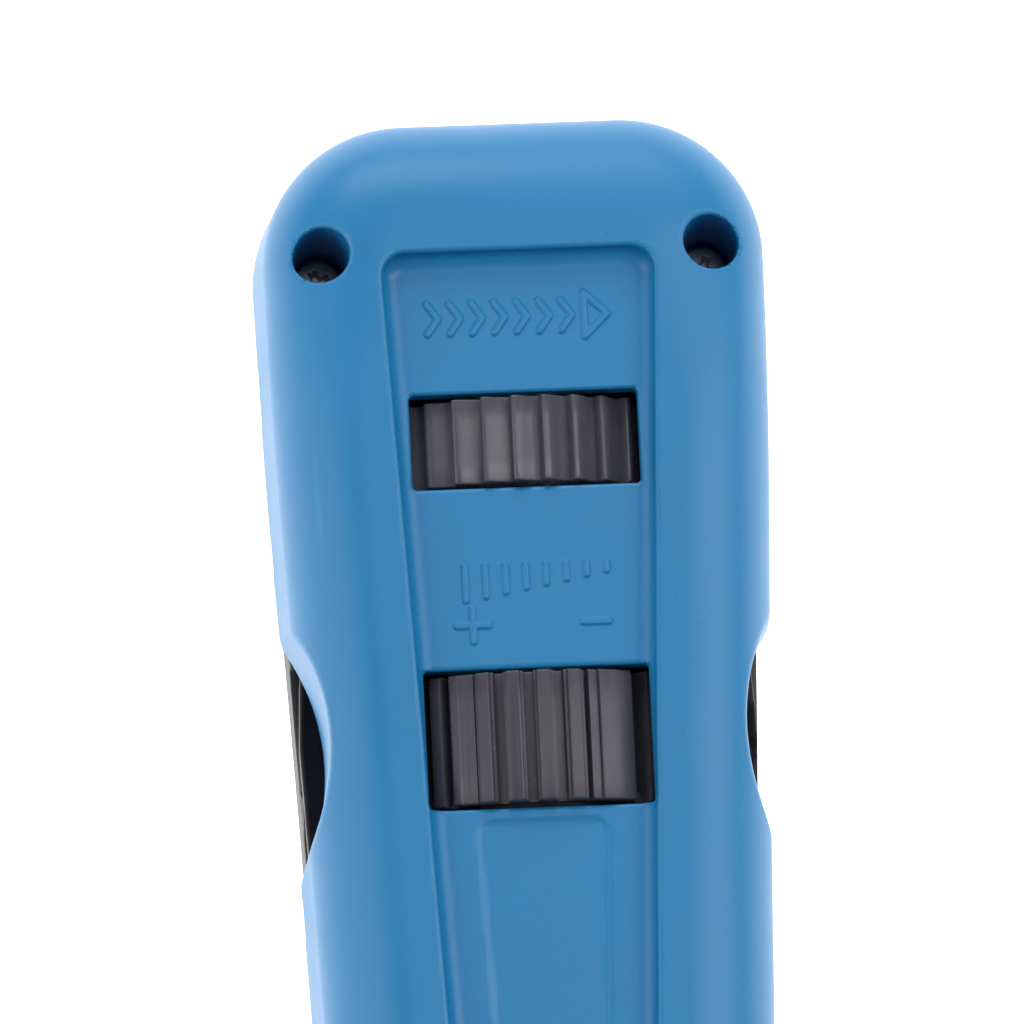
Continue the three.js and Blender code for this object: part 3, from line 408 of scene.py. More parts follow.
def nets(field, xs, ys, zs):
    """Quads of the field's surface on a grid: one point for each cell that the surface crosses."""
    values = field(xs[:, None, None], ys[None, :, None], zs[None, None, :]).astype(np.float32)
    values = np.broadcast_to(values, (len(xs), len(ys), len(zs)))
    inside = values < 0
    corners = [(a, b, c) for a in (0, 1) for b in (0, 1) for c in (0, 1)]
    nx, ny, nz = (n - 1 for n in values.shape)
    count = sum(inside[a:a + nx, b:b + ny, c:c + nz].astype(np.uint8) for a, b, c in corners)
    cells = np.argwhere((count > 0) & (count < 8))
    i, j, k = cells.T
    grid = (xs, ys, zs)
    total, crossings = np.zeros((len(cells), 3)), np.zeros(len(cells))
    for a in corners:
        for direction in range(3):
            if a[direction]:
                continue
            b = tuple(a[d] + (d == direction) for d in range(3))
            va = values[i + a[0], j + a[1], k + a[2]]
            vb = values[i + b[0], j + b[1], k + b[2]]
            cross = (va < 0) != (vb < 0)
            t = np.where(cross, va / np.where(cross, va - vb, 1), 0)
            for d in range(3):
                start, end = grid[d][cells[:, d] + a[d]], grid[d][cells[:, d] + b[d]]
                total[:, d] += np.where(cross, start + t * (end - start), 0)
            crossings += cross
    points = total / crossings[:, None]
    number = np.full((nx, ny, nz), -1, np.int64)
    number[i, j, k] = np.arange(len(cells))
    quads = []
    for d in range(3):
        e, f = (d + 1) % 3, (d + 2) % 3
        low, high = [slice(1, -1)] * 3, [slice(1, -1)] * 3
        low[d], high[d] = slice(0, -1), slice(1, None)
        first, second = inside[tuple(low)], inside[tuple(high)]
        at = np.argwhere(first != second)
        outward = first[tuple(at.T)]
        at[:, e] += 1
        at[:, f] += 1
        around = []
        for de, df in ((-1, -1), (0, -1), (0, 0), (-1, 0)):
            cell = at.copy()
            cell[:, e] += de
            cell[:, f] += df
            around.append(number[tuple(cell.T)])
        around = np.stack(around, 1)
        quads.append(np.where(outward[:, None], around, around[:, ::-1]))
    return points, np.concatenate(quads)


def mesh_from(name, points, quads):
    mesh = bpy.data.meshes.new(name)
    mesh.vertices.add(len(points))
    mesh.vertices.foreach_set("co", (np.asarray(points) * MM).astype(np.float32).ravel())
    sizes = np.array([len(q) for q in quads])
    flat = np.concatenate([np.asarray(q) for q in quads]) if sizes.std() else np.asarray(quads).ravel()
    mesh.loops.add(len(flat))
    mesh.loops.foreach_set("vertex_index", flat.astype(np.int32))
    mesh.polygons.add(len(sizes))
    mesh.polygons.foreach_set("loop_start", (np.cumsum(sizes) - sizes).astype(np.int32))
    mesh.update(calc_edges=True)
    mesh.validate()
    return mesh


def set_normals(mesh, field, crease=38):
    """Normals from the field, except where a face turns away from them at a sharp edge."""
    co = np.empty(len(mesh.vertices) * 3)
    mesh.vertices.foreach_get("co", co)
    _, gradient = slope(field, co.reshape(-1, 3) / MM)
    normal = gradient / np.maximum(np.linalg.norm(gradient, axis=1), 1e-9)[:, None]
    index = np.empty(len(mesh.loops), np.int32)
    mesh.loops.foreach_get("vertex_index", index)
    face = np.empty(len(mesh.polygons) * 3)
    mesh.polygons.foreach_get("normal", face)
    sizes = np.empty(len(mesh.polygons), np.int32)
    mesh.polygons.foreach_get("loop_total", sizes)
    flat = np.repeat(face.reshape(-1, 3), sizes, axis=0)
    smooth = normal[index]
    close = (smooth * flat).sum(1) > math.cos(math.radians(crease))
    mesh.shade_smooth()
    mesh.normals_split_custom_set(np.where(close[:, None], smooth, flat))


def thinned(mesh, share):
    """The mesh with fewer triangles, taken mostly from its flat parts."""
    if share >= 1:
        return mesh
    holder = bpy.data.objects.new("holder", mesh)
    bpy.context.scene.collection.objects.link(holder)
    modifier = holder.modifiers.new("thin", "DECIMATE")
    modifier.ratio = share
    modifier.use_collapse_triangulate = True
    out = bpy.data.meshes.new_from_object(holder.evaluated_get(bpy.context.evaluated_depsgraph_get()))
    bpy.data.objects.remove(holder)
    return out


def place(mesh, name, body, nodes, finish, slot):
    mesh.name = name
    piece = bpy.data.objects.new(name, mesh)
    bpy.context.scene.collection.objects.link(piece)
    mesh.materials.clear()
    mesh.materials.append(finish)
    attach(piece, body)
    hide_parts(*nodes)
    return piece


def sculpt(name, field, xs, ys, zs, body, nodes, finish, slot, share=0.5):
    """A piece from a distance field."""
    points, quads = nets(field, xs, ys, zs)
    step = min(np.diff(xs).min(), np.diff(ys).min(), np.diff(zs).min())
    mesh = mesh_from(name, settle(field, points, step), quads)
    mesh = thinned(mesh, share)
    set_normals(mesh, field)
    return place(mesh, name, body, nodes, finish, slot)


def small(name, field, low, high, step, body, finish, slot, share=0.5):
    """A small piece that stands for the CAD node of its name."""
    grid = [axis((a - 2 * step, b + 2 * step, step)) for a, b in zip(low, high)]
    return sculpt(name + "_piece", field, *grid, body, [name], finish, slot, share)


# ---- Finishes ----

class Finish:
    """A node material whose texture space is the piece's own, in metres."""

    def __init__(self, name, roughness=0.5, metallic=0.0, **sockets):
        self.material = bpy.data.materials.new(name)
        self.material.use_nodes = True
        self.tree = self.material.node_tree
        self.shader = self.tree.nodes["Principled BSDF"]
        self.shader.inputs["Metallic"].default_value = metallic
        self.shader.inputs["Roughness"].default_value = roughness
        for socket, value in sockets.items():
            self.shader.inputs[socket].default_value = value
        self.place = self.tree.nodes.new("ShaderNodeTexCoord").outputs["Object"]

    def link(self, out, into):
        self.tree.links.new(out, into)

    def stretch(self, x, y, z):
        node = self.tree.nodes.new("ShaderNodeMapping")
        node.inputs["Scale"].default_value = (x, y, z)
        self.link(self.place, node.inputs["Vector"])
        return node.outputs["Vector"]

    def noise(self, scale, detail=3.0, rough=0.5, place=None):
        node = self.tree.nodes.new("ShaderNodeTexNoise")
        node.inputs["Scale"].default_value = scale
        node.inputs["Detail"].default_value = detail
        node.inputs["Roughness"].default_value = rough
        self.link(place or self.place, node.inputs["Vector"])
        return node.outputs["Fac"]

    def cells(self, scale, place=None):
        node = self.tree.nodes.new("ShaderNodeTexVoronoi")
        node.inputs["Scale"].default_value = scale
        self.link(place or self.place, node.inputs["Vector"])
        return node.outputs["Distance"]

    def span(self, value, low, high, to_low=0.0, to_high=1.0):
        node = self.tree.nodes.new("ShaderNodeMapRange")
        for socket, number in zip(("From Min", "From Max", "To Min", "To Max"), (low, high, to_low, to_high)):
            node.inputs[socket].default_value = number
        self.link(value, node.inputs["Value"])
        return node.outputs["Result"]

    def sum(self, a, b, how="ADD"):
        node = self.tree.nodes.new("ShaderNodeMath")
        node.operation = how
        self.link(a, node.inputs[0])
        if isinstance(b, (int, float)):
            node.inputs[1].default_value = b
        else:
            self.link(b, node.inputs[1])
        return node.outputs["Value"]

    def mix(self, share, a, b):
        node = self.tree.nodes.new("ShaderNodeMix")
        node.data_type = "RGBA"
        self.link(share, node.inputs["Factor"])
        for socket, colour in ((node.inputs[6], a), (node.inputs[7], b)):
            if isinstance(colour, tuple):
                socket.default_value = (*colour, 1)
            else:
                self.link(colour, socket)
        return node.outputs[2]

    def colour(self, out):
        self.link(out, self.shader.inputs["Base Color"])

    def rough(self, out):
        self.link(out, self.shader.inputs["Roughness"])

    def bump(self, height, depth):
        node = self.tree.nodes.new("ShaderNodeBump")
        node.inputs["Strength"].default_value = 1.0
        node.inputs["Distance"].default_value = depth
        self.link(height, node.inputs["Height"])
        self.link(node.outputs["Normal"], self.shader.inputs["Normal"])


def srgb(red, green, blue):
    """A linear colour from 0 to 255 screen values."""
    def linear(v):
        v /= 255
        return v / 12.92 if v <= 0.04045 else ((v + 0.055) / 1.055) ** 2.4
    return tuple(linear(v) for v in (red, green, blue))


def scaled(colour, by):
    return tuple(v * by for v in colour)


def moulded(name, base, roughness, grain=5200.0, depth=5e-6, specks=0.5, patch=0.06, **sockets):
    """Satin moulded plastic: spark-eroded grain, cloudy tone, dust specks and hairline scuffs."""
    f = Finish(name, roughness, **sockets)
    cloud = f.noise(70, 4)
    fine = f.noise(grain, 2, 0.6)
    tone = f.mix(f.span(cloud, 0.3, 0.7), scaled(base, 1 - patch), scaled(base, 1 + patch))
    mottle = f.mix(f.span(fine, 0.35, 0.65), scaled(base, 0.94), scaled(base, 1.06))
    blend = f.tree.nodes.new("ShaderNodeMix")
    blend.data_type = "RGBA"
    blend.inputs["Factor"].default_value = 0.5
    f.link(tone, blend.inputs[6])
    f.link(mottle, blend.inputs[7])
    dust = f.span(f.noise(2300, 1), 0.77, 0.79, 0, specks)
    marked = f.mix(dust, blend.outputs[2], scaled(base, 0.5))
    streak = f.noise(260, 2, 0.5, f.stretch(1.0, 0.045, 1.0))
    gate = f.span(f.noise(38, 2), 0.56, 0.66)
    scuff = f.sum(f.span(streak, 0.70, 0.73), gate, "MULTIPLY")
    light = tuple(min(1.0, v * 1.5 + 0.02) for v in base)
    f.colour(f.mix(f.sum(scuff, 0.35, "MULTIPLY"), marked, light))
    broad = f.span(cloud, 0.3, 0.7, roughness - 0.05, roughness + 0.05)
    f.rough(f.sum(broad, f.span(fine, 0.3, 0.7, -0.04, 0.04)))
    coarse = f.noise(grain * 0.37, 2)
    f.bump(f.sum(fine, f.sum(coarse, 0.6, "MULTIPLY")), depth)
    return f.material


def worked_metal(name, base, roughness, grain=(1, 1, 1), scale=900.0, depth=1.5e-6, dark=0.6, spots=0.3):
    """Metal with tool or drawing lines along the squeezed axis, a few scratches and dull spots."""
    f = Finish(name, roughness, metallic=1.0)
    lines = f.noise(scale, 3, 0.6, f.stretch(*grain))
    cloud = f.noise(260, 3)
    tone = f.mix(f.span(lines, 0.3, 0.7), scaled(base, dark), base)
    dull = f.span(cloud, 0.55, 0.75, 0, spots)
    f.colour(f.mix(dull, tone, scaled(base, 0.45)))
    scratch = f.span(f.noise(700, 2, 0.5, f.stretch(1, 0.06, 0.5)), 0.68, 0.72, 0, 0.12)
    f.rough(f.sum(f.span(lines, 0.3, 0.7, roughness - 0.07, roughness + 0.09), f.sum(scratch, dull)))
    f.bump(f.sum(lines, scratch), depth)
    return f.material


BLUE = moulded("blue_shell_plastic", srgb(18, 119, 173), 0.42, specks=0.35)
BLACK = moulded("black_shell_plastic", srgb(22, 23, 26), 0.46, specks=0.3, patch=0.12)


def wheel_plastic(name, base, roughness):
    """Grey plastic with fine mould lines along the tool's axis."""
    f = Finish(name, roughness)
    lines = f.noise(1500, 3, 0.65, f.stretch(1, 0.03, 1))
    fine = f.noise(6000, 2)
    cloud = f.noise(240, 3)
    tone = f.mix(f.span(lines, 0.3, 0.7), scaled(base, 0.8), scaled(base, 1.18))
    dust = f.span(f.noise(1700, 1), 0.73, 0.76, 0, 0.4)
    f.colour(f.mix(dust, tone, scaled(base, 2.0)))
    broad = f.span(cloud, 0.3, 0.7, roughness - 0.05, roughness + 0.07)
    f.rough(f.sum(broad, f.span(lines, 0.3, 0.7, -0.05, 0.05)))
    f.bump(f.sum(lines, f.sum(fine, 0.4, "MULTIPLY")), 8e-6)
    return f.material


WHEEL_GREY = wheel_plastic("release_wheel_plastic", srgb(74, 72, 82), 0.3)
KNOB_GREY = wheel_plastic("impact_knob_plastic", srgb(62, 60, 70), 0.4)
CHROME = worked_metal("screw_metal", srgb(214, 212, 214), 0.42, (1, 1, 1), 900, 4e-7, dark=0.85)
STEEL = worked_metal("turned_metal", srgb(176, 178, 182), 0.3, (1, 30, 1), 90, dark=0.8)
SPRING = worked_metal("spring_metal", srgb(150, 152, 158), 0.28, (1, 1, 1), 1400)
BRASS = worked_metal("brass_metal", srgb(196, 152, 84), 0.34, (1, 1, 1), 900)
BLACKENED = worked_metal("blackened_metal", srgb(40, 38, 43), 0.42, (1, 0.05, 1), 1200, 1.5e-6, 0.55, 0.5)


# ---- Raised marks on the centre panel ----

MARK_HALF, MARK_HEIGHT = 0.19, 0.15
ARROW = [((4.5, 55.1), (4.5, 52.0)), ((4.5, 52.0), (6.1, 53.55)), ((6.1, 53.55), (4.5, 55.1))]
CHEVRONS = [
    stroke for x in np.arange(-6.4, 3.2, 1.55)
    for stroke in (((x, 54.6), (x + 0.75, 53.55)), ((x + 0.75, 53.55), (x, 52.5)))
]
SCALE_BARS = [((5.2 - 1.4 * k, 36.0), (5.2 - 1.4 * k, 35.5 - 0.26 * k)) for k in range(8)]
SIGNS = [((-5.3, 31.9), (-3.1, 31.9)), ((-4.2, 33.0), (-4.2, 30.8)), ((3.4, 31.9), (5.2, 31.9))]


def strokes(x, y, ends):
    """Distance to round-ended strokes in plan."""
    nearest = 1e9
    for (ax, ay), (bx, by) in ends:
        ex, ey = bx - ax, by - ay
        t = np.clip(((x - ax) * ex + (y - ay) * ey) / (ex * ex + ey * ey), 0, 1)
        nearest = np.minimum(nearest, np.hypot(x - ax - ex * t, y - ay - ey * t))
    return nearest - MARK_HALF


def relief(ends):
    """Raised strokes with a soft top and a flared foot, sunk a little in the panel."""
    def field(x, y, z):
        foot = 0.16 * np.exp(-np.maximum(z - RECESS_FLOOR, 0) / 0.06)
        solid = both(strokes(x, y, ends) - foot, z - RECESS_FLOOR - MARK_HEIGHT, 0.1)
        return both(solid, RECESS_FLOOR - 0.16 - z)
    return field


# ---- Shells ----

def add_relief(piece, ends, xs, ys):
    """Joins raised strokes to the front shell."""
    zs = axis((RECESS_FLOOR - 0.3, RECESS_FLOOR, 0.08), (RECESS_FLOOR, RECESS_FLOOR + 0.3, 0.05))
    field = relief(ends)
    points, quads = nets(field, xs, ys, zs)
    mesh = mesh_from("relief", settle(field, points, 0.06), quads)
    set_normals(mesh, field)
    mesh.materials.append(BLUE)
    raised = bpy.data.objects.new("relief", mesh)
    bpy.context.scene.collection.objects.link(raised)
    bpy.ops.object.select_all(action="DESELECT")
    raised.select_set(True)
    piece.select_set(True)
    bpy.context.view_layer.objects.active = piece
    bpy.ops.object.join()


SHELL_XS = axis((-18.6, -16, 0.4), (-16, 16, 0.26), (16, 18.6, 0.4))
front_piece = sculpt(
    "front_shell_piece", front_shell, SHELL_XS,
    axis((-63, -32, 0.5), (-32, 15, 0.32), (15, 61.4, 0.26), (61.4, 69.6, 0.36)),
    axis((13.4, 21.6, 0.55), (21.6, 24.4, 0.36), (24.4, 29.2, 0.22)),
    "body", ["front_shell"], BLUE, "blue_plastic", 0.38,
)
add_relief(front_piece, ARROW + CHEVRONS, axis((-7, 6.8, 0.11)), axis((51.4, 55.8, 0.11)))
add_relief(front_piece, SCALE_BARS + SIGNS, axis((-6.2, 6.2, 0.11)), axis((30.2, 36.6, 0.11)))
sculpt(
    "rear_shell_piece", rear_shell, axis((-18.6, 18.6, 0.5)), axis((-63, 69.6, 0.5)),
    axis((-0.6, 14.6, 0.45)), "body", ["rear_shell"], BLACK, "black_plastic", 0.5,
)
sculpt(
    "tail_cap_piece", tail_cap, axis((-18, 18, 0.36)), axis((-69.6, -57, 0.36)), axis((-0.8, 29.4, 0.36)),
    "tail_cap", ["tail_cap"], BLACK, "black_plastic", 0.5,
)


# ---- Thumb wheels ----

def wheel(name, profile, bore, low, high, body, finish, slot, bevel=0.18, track=None):
    """A wheel about the mechanism axis; profile holds (angle in radians from +Z towards +X, radius)."""
    rings = [(low, bevel), (low + bevel * 0.3, bevel * 0.3), (low + bevel, 0.0)]
    rings += [(low + (high - low) * k / 4, 0.0) for k in (1, 2, 3)]
    rings += [(high - bevel, 0.0), (high - bevel * 0.3, bevel * 0.3), (high, bevel)]
    angles = np.array([a for a, _ in profile])
    radii = np.array([r for _, r in profile])
    levels = [(y, radii - shrink) for y, shrink in rings]
    inner = [(high, bore + 0.25), (high - 0.25, bore), (low + 0.25, bore), (low, bore + 0.25)]
    levels += [(y, np.full(len(radii), float(r))) for y, r in inner]
    if track:
        near, far, deep = track
        groove = [(low, near), (low + deep, near + 0.25), (low + deep, far - 0.25), (low, far)]
        levels += [(y, np.full(len(radii), float(r))) for y, r in groove]
    points = np.concatenate([
        np.stack([r * np.sin(angles), np.full(len(r), y), AXIS_Z + r * np.cos(angles)], 1) for y, r in levels
    ])
    n = len(angles)
    around = np.arange(n)
    quads = []
    for level in range(len(levels)):
        after = (level + 1) % len(levels)
        a, b = level * n + around, level * n + (around + 1) % n
        quads.append(np.stack([a, b, b + (after - level) * n, a + (after - level) * n], 1))
    mesh = mesh_from(name, points, np.concatenate(quads))
    mesh.shade_smooth()
    mesh.set_sharp_from_angle(angle=math.radians(24))
    return place(mesh, name, body, [name.removesuffix("_piece")], finish, slot)


def release_profile(teeth=36, radius=12.3, depth=0.75):
    """Saw teeth, each highest at its -X edge, with a hollow back that falls towards +X."""
    shares = [
        (0.0, 0.0), (0.025, 0.3), (0.05, 0.72), (0.08, 0.92), (0.12, 0.99), (0.17, 1.0), (0.24, 0.96),
        (0.34, 0.82), (0.45, 0.64), (0.57, 0.45), (0.69, 0.28), (0.81, 0.14), (0.92, 0.04),
    ]
    pitch = 2 * math.pi / teeth
    phase = math.radians(5.1)
    return [
        ((k + share) * pitch + phase, radius - depth * (1 - rise))
        for k in range(teeth) for share, rise in shares
    ]


def knob_profile(sectors=5, radius=12.8):
    """Ridges, ribs with stepped flanks and a smooth land, five times round the knob."""
    deep, step = 0.85, 0.34
    marks = [(-35.8, 1.6), (-35.6, 0.5), (-35.3, 0.03), (-34.9, 0), (-31.8, 0), (-31.4, 0.03)]
    marks += [(-31.15, 0.5), (-31.0, 1.2), (-28.8, 1.2), (-28.65, 0.5)]
    marks += [(-28.4, 0.05), (-27.9, 0), (-25.6, 0), (-25.3, 0.09)]
    marks += [(-23.4, 0.11), (-23.1, 0.2), (-20.5, 0.22)]
    for k in range(4):
        centre = -17.4 + k * 9.65
        marks += [
            (centre - 3.3, deep), (centre - 3.1, step), (centre - 2.3, step - 0.03), (centre - 2.1, 0.04),
            (centre - 1.7, 0), (centre + 1.7, 0), (centre + 2.1, 0.04), (centre + 2.3, step - 0.03),
            (centre + 3.2, step), (centre + 3.4, deep),
        ]
    marks += [(15.9, deep), (16.3, 0.16), (18.4, 0.14), (18.7, 0.32), (19.3, 0.3), (19.7, 0.03), (20.3, 0)]
    marks += [(25, -0.0), (30.3, 0), (30.9, 0.03), (31.4, 0.5), (32, 0.55), (32.1, 1.6)]
    return [
        (math.radians(a + 360 / sectors * k), radius - d) for k in range(sectors) for a, d in marks
    ]


wheel("release_wheel_piece", release_profile(), 7.25, 41.9, 47.9, "release", WHEEL_GREY, "grey_plastic", 0.16)
wheel(
    "impact_knob_piece", knob_profile(), 7.75, 19.4, 28.5, "adjuster", KNOB_GREY, "grey_plastic", 0.2,
    (8.9, 11.9, 0.8),
)


# ---- Screws ----

def screw_field(cx, cy, turn):
    """Pan head with a tapered cross recess, and a thread that stops under the head."""
    cos, sin = math.cos(math.radians(turn)), math.sin(math.radians(turn))
    foot = SEAT_Z - 10.5

    def field(x, y, z):
        u, v = (x - cx) * cos + (y - cy) * sin, (y - cy) * cos - (x - cx) * sin
        radius = np.hypot(u, v)
        pitch = 0.8
        wave = (z / pitch - np.arctan2(v, u) / (2 * math.pi)) % 1.0
        ridge = 0.2 * np.maximum(0, 1 - np.abs(wave - 0.5) * 3.2)
        taper = np.clip((z - foot) / 1.6, 0, 1)
        core = SHANK - 0.2 + ridge * (z < SEAT_Z - 1.2)
        shank = both(radius - core * (0.35 + 0.65 * taper), slab(z, foot, SEAT_Z + 0.4))
        dome = np.sqrt(radius**2 + (z - SEAT_Z + 4.4) ** 2) - 5.85
        head = both(both(radius - HEAD, SEAT_Z + 0.06 - z, 0.1), dome, 0.25)
        deep = SEAT_Z + 0.55
        arm = 0.2 + 0.1 * (z - deep)
        reach = 0.62 + 0.42 * (z - deep)
        cross = np.minimum(
            both(np.abs(u) - reach, np.abs(v) - arm, 0.06), both(np.abs(v) - reach, np.abs(u) - arm, 0.06)
        )
        return less(np.minimum(shank, head), both(cross, deep - z), 0.05)

    return field


for name, (cx, cy, turn) in SCREWS.items():
    small(
        name, screw_field(cx, cy, turn),
        (cx - 1.8, cy - 1.8, SEAT_Z - 10.7), (cx + 1.8, cy + 1.8, SEAT_Z + 1.6),
        0.09, "body", CHROME, "screw_steel", 0.7,
    )


# ---- Blade chuck and its release ----

CHUCK_NOSE = 67.4


def chuck(x, y, z):
    radius = from_axis(x, z)
    profile = [
        (-1, 12.4), (1.0, 12.4), (1.3, 12.7), (1.3, 15), (2.4, 15), (2.4, 49.5), (4.3, 49.5), (4.6, 49.8),
        (4.6, 59.4), (4.15, 59.4), (4.15, 60.6), (4.6, 60.6), (4.6, 66.9), (4.1, 67.4), (-1, 67.4),
    ]
    solid = polygon(radius, y, profile)
    solid = less(solid, both(radius - BLADE_SOCKET[0], CHUCK_NOSE - BLADE_SOCKET[1] - y), 0.2)
    solid = less(solid, both(np.abs(x) - 1.1, np.maximum(CHUCK_NOSE - 5 - y, np.abs(z - AXIS_Z) - 6)), 0.12)
    return less(solid, both(np.hypot(x, y - LOCK_PIN_Y) - 1.02, AXIS_Z - z))


def bushing(x, y, z):
    profile = [
        (4.9, 61.2), (7.4, 61.2), (7.6, 61.4), (7.6, 64.4), (7.4, 64.6), (6.1, 64.6), (6.1, 67.9),
        (5.95, 68.2), (5.6, 68.4), (5.3, 68.4), (5.05, 68.25), (4.9, 68.0),
    ]
    return polygon(from_axis(x, z), y, profile)


def lock_pin(x, y, z):
    return both(np.hypot(x, y - LOCK_PIN_Y) - 0.9, slab(z, AXIS_Z + 2.7, AXIS_Z + 5.3), 0.25)


def clip(x, y, z):
    radius = from_axis(x, z)
    flat = both(slab(radius, 4.3, 5.7), slab(y, 59.55, 60.45), 0.12)
    lobes = np.minimum.reduce([
        np.hypot(x - 5.0 * math.sin(a), z - AXIS_Z - 5.0 * math.cos(a)) - 1.0 for a in (2.75, -2.75)
    ])
    flat = np.minimum(flat, both(lobes, slab(y, 59.55, 60.45), 0.12))
    flat = np.maximum(flat, 4.3 - radius)
    return less(flat, both(np.abs(x) - 1.2, z - AXIS_Z + 3), 0.1)


def sleeve(x, y, z):
    return both(slab(from_axis(x, z), 6.1, 7.1), slab(y, 40.2, 58), 0.2)


def hammer(x, y, z):
    radius = from_axis(x, z)
    profile = [
        (1.9, -2.4), (3.3, -2.4), (5.9, -1.3), (6.1, -1.0), (6.1, 13.4),
        (5.5, 14), (2.1, 14), (1.7, 13.6), (1.7, -2.2),
    ]
    solid = polygon(radius, y, profile)
    for groove in (3.0, 4.2, 5.4):
        solid = less(solid, np.hypot(radius - 6.15, y - groove) - 0.28)
    slot = np.maximum.reduce([
        np.broadcast_to(v, np.broadcast(x, y, z).shape)
        for v in (np.abs(x) - 2.65, slab(y, 8.95, 11.85), slab(z, AXIS_Z - 8, AXIS_Z + 5.2))
    ])
    return less(solid, slot, 0.15)


def trip(x, y, z):
    block = box(x, y, z, (-2.5, 9.1, AXIS_Z - 5), (2.5, 11.7, AXIS_Z + 3.1), 0.25)
    return less(block, np.hypot(x, z - AXIS_Z + 0.9) - 1.55, 0.15)


def tube(x, y, z):
    radius = from_axis(x, z)
    body = both(slab(radius, 6.4, 7.6), slab(y, -30, 29.8), 0.2)
    keyway = both(np.abs(z - AXIS_Z) - 1.8, y + 24)
    return less(body, keyway, 0.12)


def ball(x, y, z):
    return np.sqrt(x**2 + (y - DETENT_Y) ** 2 + (z - AXIS_Z + DETENT_DROP) ** 2) - 1.2


RAMP_LEAD = 2.5 / (math.pi / 4)


def ramps(x, y, z, span, low, high):
    """Two opposite blocks bent round the axis; low and high give their ends from the angle along them."""
    radius = from_axis(x, z)
    angle = np.arctan2(x, z - AXIS_Z) % math.pi
    middle = span / 2
    away = (angle - middle + math.pi / 2) % math.pi - math.pi / 2
    along = away + middle
    ends = (np.abs(away) - middle) * radius
    shape = np.broadcast(x, y, z).shape
    parts = (slab(radius, 3, 5.8), ends, low(along) - y, y - high(along))
    return np.maximum.reduce([np.broadcast_to(v, shape) for v in parts])


def seat(x, y, z):
    profile = [(-1, -28.6), (6.1, -28.6), (6.1, -27), (3.2, -27), (3.2, -24.9), (2.9, -24.6), (-1, -24.6)]
    disc = polygon(from_axis(x, z), y, profile)
    keys = box(x, y, z, (-7.4, -28.6, AXIS_Z - 1.6), (7.4, -27, AXIS_Z + 1.6), 0.15)
    lugs = ramps(x, y, z, math.radians(40), lambda a: -34 + RAMP_LEAD * a, lambda a: -28.4 + 0 * a)
    return np.minimum.reduce([disc, keys, lugs])


def plug(x, y, z):
    ring = both(slab(from_axis(x, z), 2, 8.2), slab(y, -38.6, -34.6), 0.3)
    span = math.radians(85)
    return np.minimum(ring, ramps(x, y, z, span, lambda a: -34.9 + 0 * a, lambda a: -34.3 + RAMP_LEAD * a))


def turned_box(radius, low, high):
    return (-radius, low, AXIS_Z - radius), (radius, high, AXIS_Z + radius)


small("blade_chuck", chuck, *turned_box(4.7, 12.3, 67.5), 0.24, "chuck", STEEL, "turned_steel")
small("nose_bushing", bushing, *turned_box(7.7, 61.1, 68.5), 0.24, "body", STEEL, "turned_steel")
small("lock_pin", lock_pin, (-1, 55, 18), (1, 57, 21), 0.14, "lock", STEEL, "turned_steel")
small("chuck_clip", clip, *turned_box(6.1, 59.4, 60.6), 0.16, "chuck", SPRING, "spring_steel")
small("lock_sleeve", sleeve, *turned_box(7.2, 40.1, 58.1), 0.34, "release", STEEL, "turned_steel", 0.6)
small("hammer", hammer, *turned_box(6.2, -2.5, 14.1), 0.26, "hammer", STEEL, "turned_steel")
small("trip_block", trip, (-2.6, 9, AXIS_Z - 5.1), (2.6, 11.8, AXIS_Z + 3.2), 0.18, "trip", BRASS, "brass")
small("adjuster_tube", tube, *turned_box(7.7, -30.1, 29.9), 0.42, "adjuster", STEEL, "turned_steel", 0.6)
small("detent_ball", ball, (-1.3, 17, 3.8), (1.3, 19.6, 6.4), 0.14, "body", STEEL, "turned_steel", 0.9)
small("spring_seat", seat, *turned_box(7.5, -34.2, -24.5), 0.26, "seat", BRASS, "brass")
small("end_plug", plug, *turned_box(8.3, -38.7, -27), 0.28, "body", STEEL, "turned_steel")


# ---- Springs ----

def spring(name, radius, wire, start, end, turns, body, joint, keep=None, fixed=None, drop=0.0, upright=None):
    """Round-wire coil with its end turns closed up."""
    sides, steps = 10, 26
    count = int(turns * steps)
    t = np.linspace(0, 1, count + 1)
    dead = 0.6 / turns
    closed = 0.75 * wire * 0.6 / (end - start)
    rise = np.interp(t, (0, dead, 1 - dead, 1), (0, closed, 1 - closed, 1))
    angle = 2 * math.pi * turns * t
    along = start + (end - start) * rise
    ring, up = np.cos(angle), np.sin(angle)
    centre = np.stack([radius * ring, along, radius * up], 1)
    outward = np.stack([ring, np.zeros_like(t), up], 1)
    forward = np.array([0.0, 1.0, 0.0])
    section = 2 * math.pi * np.arange(sides) / sides
    points = centre[:, None] + wire / 2 * (
        outward[:, None] * np.cos(section)[None, :, None] + forward * np.sin(section)[None, :, None]
    )
    points = points.reshape(-1, 3)
    if upright is None:
        points += (0, 0, AXIS_Z - drop)
    else:
        points = points[:, [0, 2, 1]] * (1, -1, 1) + (0, upright, 0)
    quads = []
    for k in range(count):
        a = k * sides + np.arange(sides)
        b = k * sides + (np.arange(sides) + 1) % sides
        quads += np.stack([a, b, b + sides, a + sides], 1).tolist()
    quads.append(list(range(sides))[::-1])
    quads.append([count * sides + k for k in range(sides)])
    mesh = mesh_from(name, points, quads)
    mesh.shade_smooth()
    mesh.set_sharp_from_angle(angle=math.radians(50))
    piece = place(mesh, name + "_piece", body, [name], SPRING, "spring_steel")
    if keep:
        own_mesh(piece)
    return piece


